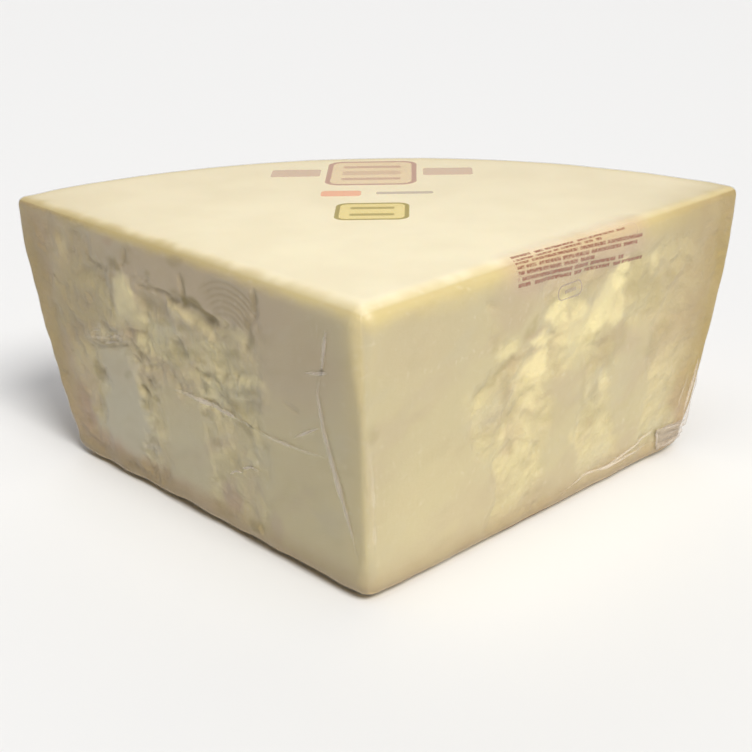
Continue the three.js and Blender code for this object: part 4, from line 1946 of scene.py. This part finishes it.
def left_face(sector: Sector) -> BrokenFace:
    """The face to the left of the front edge.

    Args:
        sector: The wedge.

    Returns:
        The face.
    """
    return BrokenFace(
        Side.LEFT, sector,
        plates=(
            Plate(26, 55, 62, 140, 1.0, 9.0), Plate(104, 105, 120, 24, 0.85), Plate(80, 97, 38, 24, 1.0, 2.0),
            Plate(149, 33, 26, 46, 0.95, 3.0), Plate(105, 24, 34, 62, 0.9, 4.5), Plate(110, 0, 240, 8),
            Plate(75, 24, 60, 42, 0.48, 7.0), Plate(190, 60, 60, 120, 0.15, 8.0),
            Plate(122, 86, 22, 12, 0.7, 4.0), Plate(141, 84, 14, 18, 0.85, 3.0),
        ),
        hollows=(
            Hollow(((81, 84), (86, 88), (92, 90.5), (98, 92.3), (105, 93), (114, 91)), 4, 1.3, 2.6, 4.0),
            Hollow(((80, 82.5), (86, 85), (92, 87), (98, 88.5), (105, 89.5), (114, 89.5)), 12, -1.3),
            Hollow(((110, 88), (116, 91), (124, 90), (132, 87)), 11, 1.6),
            Hollow(((131, 78), (133, 86), (136, 91.5), (140, 94), (145, 93), (149, 89)), 20, -0.6),
            Hollow(((103, 77), (112, 80), (124, 79), (135, 74)), 14, 1.2),
            Hollow(((50, 72), (60, 71.5), (72, 69.5), (82, 67.5), (92, 63)), 8, -1.1, 4.0),
            Hollow(((139, 70), (150, 67.5), (160, 65), (172, 63)), 3, -0.9, 4.5, 4.0),
            Hollow(((60, 45), (66, 49), (76, 49), (80, 44)), 15, 1.0, 4.0),
            Hollow(((60, 17), (66, 21), (76, 21), (81, 16)), 11, 1.0, 4.0),
            Hollow(((59, 9), (63, 12), (68, 9)), 8, -1.3, 3.0, 3.0),
            Hollow(((60, 38), (67, 40), (74, 36)), 8, -1.0, 3.0, 4.0),
        ),
        grooves=(
            Groove(((82, 85.8), (87, 88.6), (93, 90.6), (99, 92)), 3.0, 1.5),
            Groove(((98, 92), (105, 92.2), (112, 91)), 1.6, 0.8),
            Groove(((99, 92), (99.5, 97), (101, 101)), 2.0, 0.8),
            Groove(((159, 92.5), (153, 94.5), (147, 96.5)), 2.0, 0.7),
            Groove(((156, 91), (152, 94), (147, 95)), 1.7, 0.7),
            Groove(((140, 97), (137.5, 99.5), (137, 102.5)), 1.7, 0.8),
            Groove(((127, 92), (124.5, 94)), 1.5, 0.6),
            Groove(((131, 89.5), (122, 90.8), (112, 91.4)), 1.5, 0.8),
            Groove(((140, 57), (134, 54.5), (128, 55.5)), 1.6, 0.6),
            Groove(((131, 50), (126, 48.5), (121, 49.5)), 1.6, 0.6),
            Groove(((134, 45), (128, 43), (123, 44)), 1.6, 0.6),
            Groove(((166, 48), (163, 44), (165, 39)), 1.6, 0.8),
            Groove(((170, 57.2), (160, 57.6), (150, 59.5), (144, 62)), 2.0, 0.8),
            Groove(((96, 63.5), (88, 61.5), (82, 63), (79, 67)), 2.0, 0.8),
            Groove(((57, 104), (56.5, 97), (60, 91), (64, 82)), 2.2, 0.9),
            Groove(((41, 66), (35, 65.4)), 1.4, 0.5),
            Groove(((76, 31), (68, 31.5)), 2.0, 0.5),
        ),
        stains={
            Tone.PINK: (
                Stain(100, 97, 180, 40, 0.65), Stain(205, 92, 20, 40, 0.85), Stain(58, 105, 12, 8, 0.5),
                Stain(40, 84, 70, 48, 0.45), Stain(140, 67, 12, 8, 0.5), Stain(104, 75, 16, 10, 0.4),
                Stain(78, 16, 14, 18, 0.8), Stain(64, 22, 14, 22, 0.3), Stain(51, 12, 8, 16, 0.5),
                Stain(8, 70, 14, 70, 0.15),
            ),
            Tone.GREY: (
                Stain(156, 62.5, 26, 9, 0.75),
                Patch(0.72, (
                    (162, 58), (145, 60), (137, 55), (136, 44), (128, 34), (124, 10), (163, 10), (164, 34),
                ), 3.5),
                Stain(104, 22, 34, 46, 0.35),
            ),
            # The yellow patches here are partly painted light: bright facets that face the lamp.
            Tone.BUTTER: (
                Patch(0.62, (
                    (147, 82), (146, 89), (143, 93), (139, 93), (136, 90), (134, 84), (133, 79), (139, 76),
                    (147, 74),
                ), 2.6),
                Patch(0.75, ((143, 91), (138, 92), (134, 86), (134, 82), (141, 82))),
                Patch(0.3, ((151, 78), (146, 78), (144, 72), (148, 68), (152, 69))),
                Patch(0.3, (
                    (149, 78), (138, 79), (124, 78), (118, 72), (130, 70), (139, 73), (149, 70),
                ), 3.0),
                Patch(0.38, (
                    (113, 89.5), (100, 88.5), (92, 87), (83, 85), (80, 81), (90, 81), (100, 83), (112, 84.5),
                ), 2.2),
                Patch(0.35, (
                    (82, 65.5), (76, 63), (68, 64), (58, 68), (52, 70.5), (57, 71.5), (66, 70), (74, 67.5),
                ), 1.5),
                Patch(0.35, ((136, 68), (128, 69), (118, 64), (124, 60), (136, 61)), 2.5),
                Patch(0.3, ((136, 18), (125, 18), (126, 7), (135, 8)), 1.5), Stain(110, 76, 20, 7, 0.2),
                Stain(8, 36, 22, 50, 0.08),
                Patch(0.35, ((190, 106), (182, 107), (183, 92), (189, 91))),
                Patch(0.3, ((138, 56), (128, 57), (127, 53.5), (137, 53)), 1.6),
            ),
            # These dark greenish patches are mostly painted shade: shadows under lips and ledges, dark pits
            # and lines, and bands along the foot; the rest are stains.
            Tone.OLIVE: (
                Patch(0.95, (
                    (102, 94), (94, 94), (87, 92.6), (80, 86.5), (85, 86), (94, 88.2), (102, 90.5),
                ), 1.0),
                Patch(0.45, ((112, 91.5), (101, 95), (99, 92), (104, 90.5)), 1.2),
                Stain(99.5, 96, 5.5, 12, 0.6),
                Patch(0.3, ((132, 89), (120, 88), (111, 86), (111, 82), (129, 81.5)), 2.5),
                Patch(0.3, (
                    (153, 97), (150, 70), (160, 65), (186, 54), (202, 62), (188, 84), (172, 96),
                ), 7.0),
                Patch(0.45, ((74, 61.5), (66, 61), (58, 64), (57, 67), (66, 64.5)), 1.5),
                Patch(0.6, ((139, 60), (131, 60.5), (127, 58.5), (136, 56.5)), 1.4),
                Stain(76, 57, 10, 5, 0.5, 0.3), Stain(90, 57, 7, 5, 0.45), Stain(68, 49, 11, 4, 0.5, 0.2),
                Stain(92, 48, 7, 3, 0.45, -0.3), Stain(125, 51, 9, 2.6, 0.4, -0.2),
                Stain(125, 43.5, 7, 2.6, 0.4), Stain(131, 39.5, 5, 3, 0.35), Stain(143, 49, 4, 6, 0.3),
                Stain(134, 46, 6, 3, 0.3), Stain(124, 96.5, 6, 4, 0.35), Stain(136, 103, 6, 4, 0.3),
                Stain(105, 106, 12, 5, 0.3), Stain(88, 48, 5, 4, 0.35), Stain(86, 37, 6, 4, 0.3),
                Stain(76, 34, 9, 6, 0.3), Stain(66, 48, 9, 6, 0.4), Stain(123, 90.5, 12, 1.8, 0.45),
                Stain(73, 31, 10, 3, 0.25, -0.3), Stain(146.5, 95, 10, 6, 0.65),
                Stain(144, 96, 7, 6, 0.65), Stain(137, 100.5, 5, 5, 0.45), Stain(157, 93.5, 10, 4, 0.5),
                Stain(57, 100, 4.5, 10, 0.5), Stain(61.5, 88, 5, 14, 0.5), Stain(150, 82, 5, 26, 0.38),
                Stain(156, 59, 28, 2.6, 0.5, -0.15), Stain(88, 63, 16, 2.6, 0.45),
                Stain(96, 69, 14, 3, 0.35, 0.3), Stain(113, 66, 12, 5, 0.3, -0.3),
                Stain(115, 78, 16, 4, 0.3, -0.3), Stain(72, 76, 14, 4, 0.35, -0.3),
                Stain(166, 44, 6, 10, 0.45), Stain(167, 30, 6, 14, 0.35), Stain(132, 17, 14, 3, 0.3),
                Stain(84, 23, 5, 4, 0.25), Stain(208, 82, 12, 44, 0.3), Stain(197, 48, 9, 40, 0.3),
                Stain(62, 9, 12, 7, 0.5), Stain(84, 8, 16, 8, 0.35), Stain(110, 4, 300, 17, 0.14),
                Stain(150, 5, 110, 15, 0.36), Stain(180, 18, 6, 4, 0.35), Stain(209, 86, 6, 9, 0.35),
            ),
            # Reddish stains near the rind; the long bands along the foot are painted shade.
            Tone.BROWN: (
                Stain(149, 105, 10, 5, 0.4), Stain(183, 22, 22, 36, 0.85), Stain(193, 42, 16, 30, 0.6),
                Stain(174, 32, 16, 30, 0.35), Stain(165, 7, 60, 20, 0.75), Stain(130, 6, 130, 15, 0.6),
                Stain(204, 70, 14, 80, 0.35), Stain(208, 98, 12, 14, 0.6), Stain(76, 12, 16, 16, 0.3),
            ),
        },
        ripples=(Ripples(73, 80, 10, 27, 2.4, 0.5),),
        seed=4.7, roughness=0.7, chunks=0.35, lean=-0.25, shade=0.75, mottle=1.2,
    )


def right_face(sector: Sector) -> BrokenFace:
    """The face to the right of the front edge.

    Args:
        sector: The wedge.

    Returns:
        The face.
    """
    return BrokenFace(
        Side.RIGHT, sector,
        plates=(
            Plate(26, 55, 68, 140), Plate(77, 95, 30, 30), Plate(107, 34, 27, 56, 0.95),
            Plate(150, 38, 21, 64, 0.95), Plate(120, 108, 170, 20), Plate(110, 0, 240, 8),
            Plate(186, 60, 60, 120, 0.2, 8.0), Plate(120, 50, 140, 120, 0.2),
            Plate(128, 82, 26, 20, 0.7, 5.0), Plate(94, 76, 18, 14, 0.6, 4.0),
        ),
        hollows=(
            Hollow(
                ((104, 76), (118, 84), (127, 90), (135, 96), (141, 98), (147, 95), (152, 84)),
                24, 1.2, 11.0, 10.0,
            ),
            Hollow(((85, 82), (95, 90), (102, 92.5), (112, 87)), 15, 0.9, 8.0, 8.0),
            Hollow(((74, 66), (84, 76), (90, 79), (98, 80.5), (112, 78)), 19, 1.7, 8.0, 9.0),
            Hollow(((70, 53), (80, 60.5), (89, 61.5), (98, 53)), 15, 1.4, 7.0, 8.0),
            Hollow(((62, 37), (74, 43.5), (82, 42.5), (91, 35)), 16, 1.2, 7.0, 8.0),
            Hollow(((138, 80), (155, 77), (170, 74), (190, 67)), 8, 1.2, 8.0, 9.0),
            Hollow(((124, 47), (131, 50.5), (139, 46)), 7, 0.5, 5.0, 6.0),
            Hollow(((152, 88), (159, 92), (167, 86)), 9, 1.0, 5.0, 6.0),
            Hollow(((169, 88), (179, 92), (190, 87)), 11, 1.0, 5.0, 7.0),
        ),
        grooves=(
            Groove(((57, 64), (66, 67.5), (76, 71)), 5.0, 0.9),
            Groove(((72, 52), (69, 44)), 2.4, 0.8),
        ),
        stains={
            Tone.PINK: (
                Patch(0.35, ((62, 108), (92, 104), (90, 92), (80, 82), (70, 83), (64, 92)), 4.0),
                Stain(112, 99, 100, 18, 0.55), Stain(30, 92, 60, 30, 0.15), Stain(104, 55, 14, 16, 0.25),
                Stain(146, 60, 18, 12, 0.3), Stain(140, 66, 13, 10, 0.4),
            ),
            # The yellow patches here are partly painted light: bright facets that face the lamp.
            Tone.BUTTER: (
                Patch(0.6, (
                    (140, 96.5), (145, 92), (143, 73), (136, 70.5), (126, 70.5), (117, 74), (120, 81),
                    (134, 91),
                ), 1.8),
                Patch(0.95, ((140, 97), (145, 93), (144, 86), (138, 84), (133, 89)), 1.4),
                Patch(0.75, ((121, 79), (129, 82), (131, 76), (130, 71), (124, 71), (119, 74)), 1.8),
                Patch(0.6, ((134, 74), (142, 76), (142, 71), (134, 71)), 1.6),
                Patch(0.55, ((102, 80), (112, 83), (121, 82), (122, 70), (110, 67), (102, 70)), 2.4),
                Patch(0.8, ((93, 83), (99, 89), (104, 90), (107.5, 86), (108, 79), (100, 78)), 1.6),
                Patch(0.9, ((97, 86), (103, 90), (108, 87), (107, 81), (101, 79)), 1.4),
                Patch(0.75, ((108, 86), (116, 86), (120, 82), (116, 77), (110, 78)), 1.8),
                Patch(0.95, ((87, 77.5), (93, 78), (101, 74.5), (102, 72.5), (93, 72), (88, 74)), 1.8),
                Patch(0.85, ((83, 66), (88, 70), (97, 71), (98, 66), (94, 61), (88, 58), (83, 61)), 1.8),
                Patch(0.45, ((75, 64), (84, 71), (92, 71), (92, 58), (80, 57)), 3.0),
                Patch(0.6, ((79, 60), (87, 62), (94, 60), (94, 52), (86, 49), (80, 52)), 2.2),
                Patch(0.36, ((69, 46), (80, 49), (89, 43), (88, 33), (82, 25), (70, 22), (65, 30)), 3.5),
                Patch(0.18, ((64, 24), (80, 24), (82, 8), (66, 8)), 4.0),
                Patch(0.4, ((69, 80), (77, 80), (80, 76), (78, 72), (68, 74))),
                Patch(0.2, ((50, 66), (60, 64), (62, 55), (60, 45), (52, 46)), 5.0),
                Stain(36, 30, 60, 44, 0.12), Stain(132, 47, 7, 8, 0.5), Stain(120, 48, 7, 6, 0.25),
                Stain(131, 30, 6, 9, 0.35), Stain(114, 30, 10, 6, 0.3),
                Patch(0.4, (
                    (146, 79), (158, 80), (172, 74), (186, 66), (186, 61), (170, 68), (156, 72),
                ), 3.0),
                Patch(0.4, ((168, 96), (190, 97), (192, 86), (178, 82), (169, 88)), 4.0),
                Stain(162, 89.5, 8, 11, 0.55), Stain(184, 89, 8, 13, 0.5), Stain(182, 68, 9, 8, 0.5),
                Stain(157, 75, 11, 6, 0.5), Stain(170, 69, 10, 6, 0.5), Stain(166, 43.5, 8, 10, 0.45),
                Stain(176, 48, 7, 8, 0.4), Stain(170, 45, 14, 18, 0.3),
            ),
            # These dark greenish patches are mostly painted shade: shadows under lips, dark smears, the light
            # falling off toward the rind, and a band along the foot; the rest are stains.
            Tone.OLIVE: (
                Patch(0.34, ((57, 64), (66, 69), (77, 73), (79, 70), (70, 66.5)), 1.8),
                Patch(0.22, ((112, 83), (124, 89), (134, 96), (130, 97), (118, 92), (108, 86)), 3.0),
                Patch(0.2, ((127, 66), (140, 69), (146, 72), (146, 62), (136, 53), (128, 54)), 3.0),
                Patch(0.32, ((147, 97), (166, 84), (170, 70), (150, 76), (145, 84)), 5.0),
                Stain(86, 82, 9, 4, 0.3, 0.8), Stain(73, 61, 6, 13, 0.22),
                Patch(0.1, ((133, 84), (140, 85), (141, 76), (134, 75)), 1.6), Stain(76, 36, 6, 9, 0.22),
                Stain(76, 50, 8, 7, 0.2), Stain(117, 50, 3, 24, 0.15), Stain(120, 38, 9, 6, 0.2),
                Stain(163, 55, 12, 12, 0.25), Stain(174, 82, 14, 9, 0.3), Stain(172, 60, 14, 8, 0.28),
                Stain(184, 80, 46, 70, 0.14), Stain(86, 60, 7, 5, 0.2), Stain(3, 66, 6, 9, 0.22),
                Stain(90, 4, 260, 10, 0.08),
            ),
            # Reddish stains near the rind; the long band along the foot is painted shade.
            Tone.BROWN: (
                Stain(131, 59, 9, 16, 0.16), Stain(65, 28, 8, 7, 0.15), Stain(175, 52, 40, 34, 0.1),
                Stain(124, 33, 6, 5, 0.2), Stain(77, 42, 12, 14, 0.22), Stain(88, 79.5, 14, 3.5, 0.3),
                Stain(103, 74, 10, 7, 0.16), Stain(77, 69, 10, 8, 0.22), Stain(74, 36, 9, 7, 0.3),
                Stain(190, 20, 20, 34, 0.6), Stain(185, 28, 9, 14, 0.5), Stain(212, 84, 10, 60, 0.45),
                Stain(201, 46, 10, 40, 0.35), Stain(150, 4, 110, 9, 0.25),
            ),
        },
        seed=12.3, roughness=0.6, chunks=0.55, mottle=0.95, shade=0.28, soften=4,
    )


def main() -> None:
    """Builds the wedge's pieces in order, then the studio."""
    logging.basicConfig(level=logging.INFO, format="%(name)s: %(message)s")
    sector = Sector()
    faces = {Side.LEFT: left_face(sector), Side.RIGHT: right_face(sector)}
    pieces = [
        (Cheese(sector, faces).build(), "cheese"),
        (Film(sector, faces).build(), "film"),
        (Folds({**faces, None: RindWall(sector)}).build(), "film"),
        (Flap(faces[Side.RIGHT]).build(), "film"),
    ]
    for piece, slot in pieces:
        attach(piece, BODY)
        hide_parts(NODE)
        LOG.info("%s: %d faces", piece.name, len(piece.data.polygons))
    Studio().build()
    Camera().build(sector)


if __name__ == "__main__":
    main()
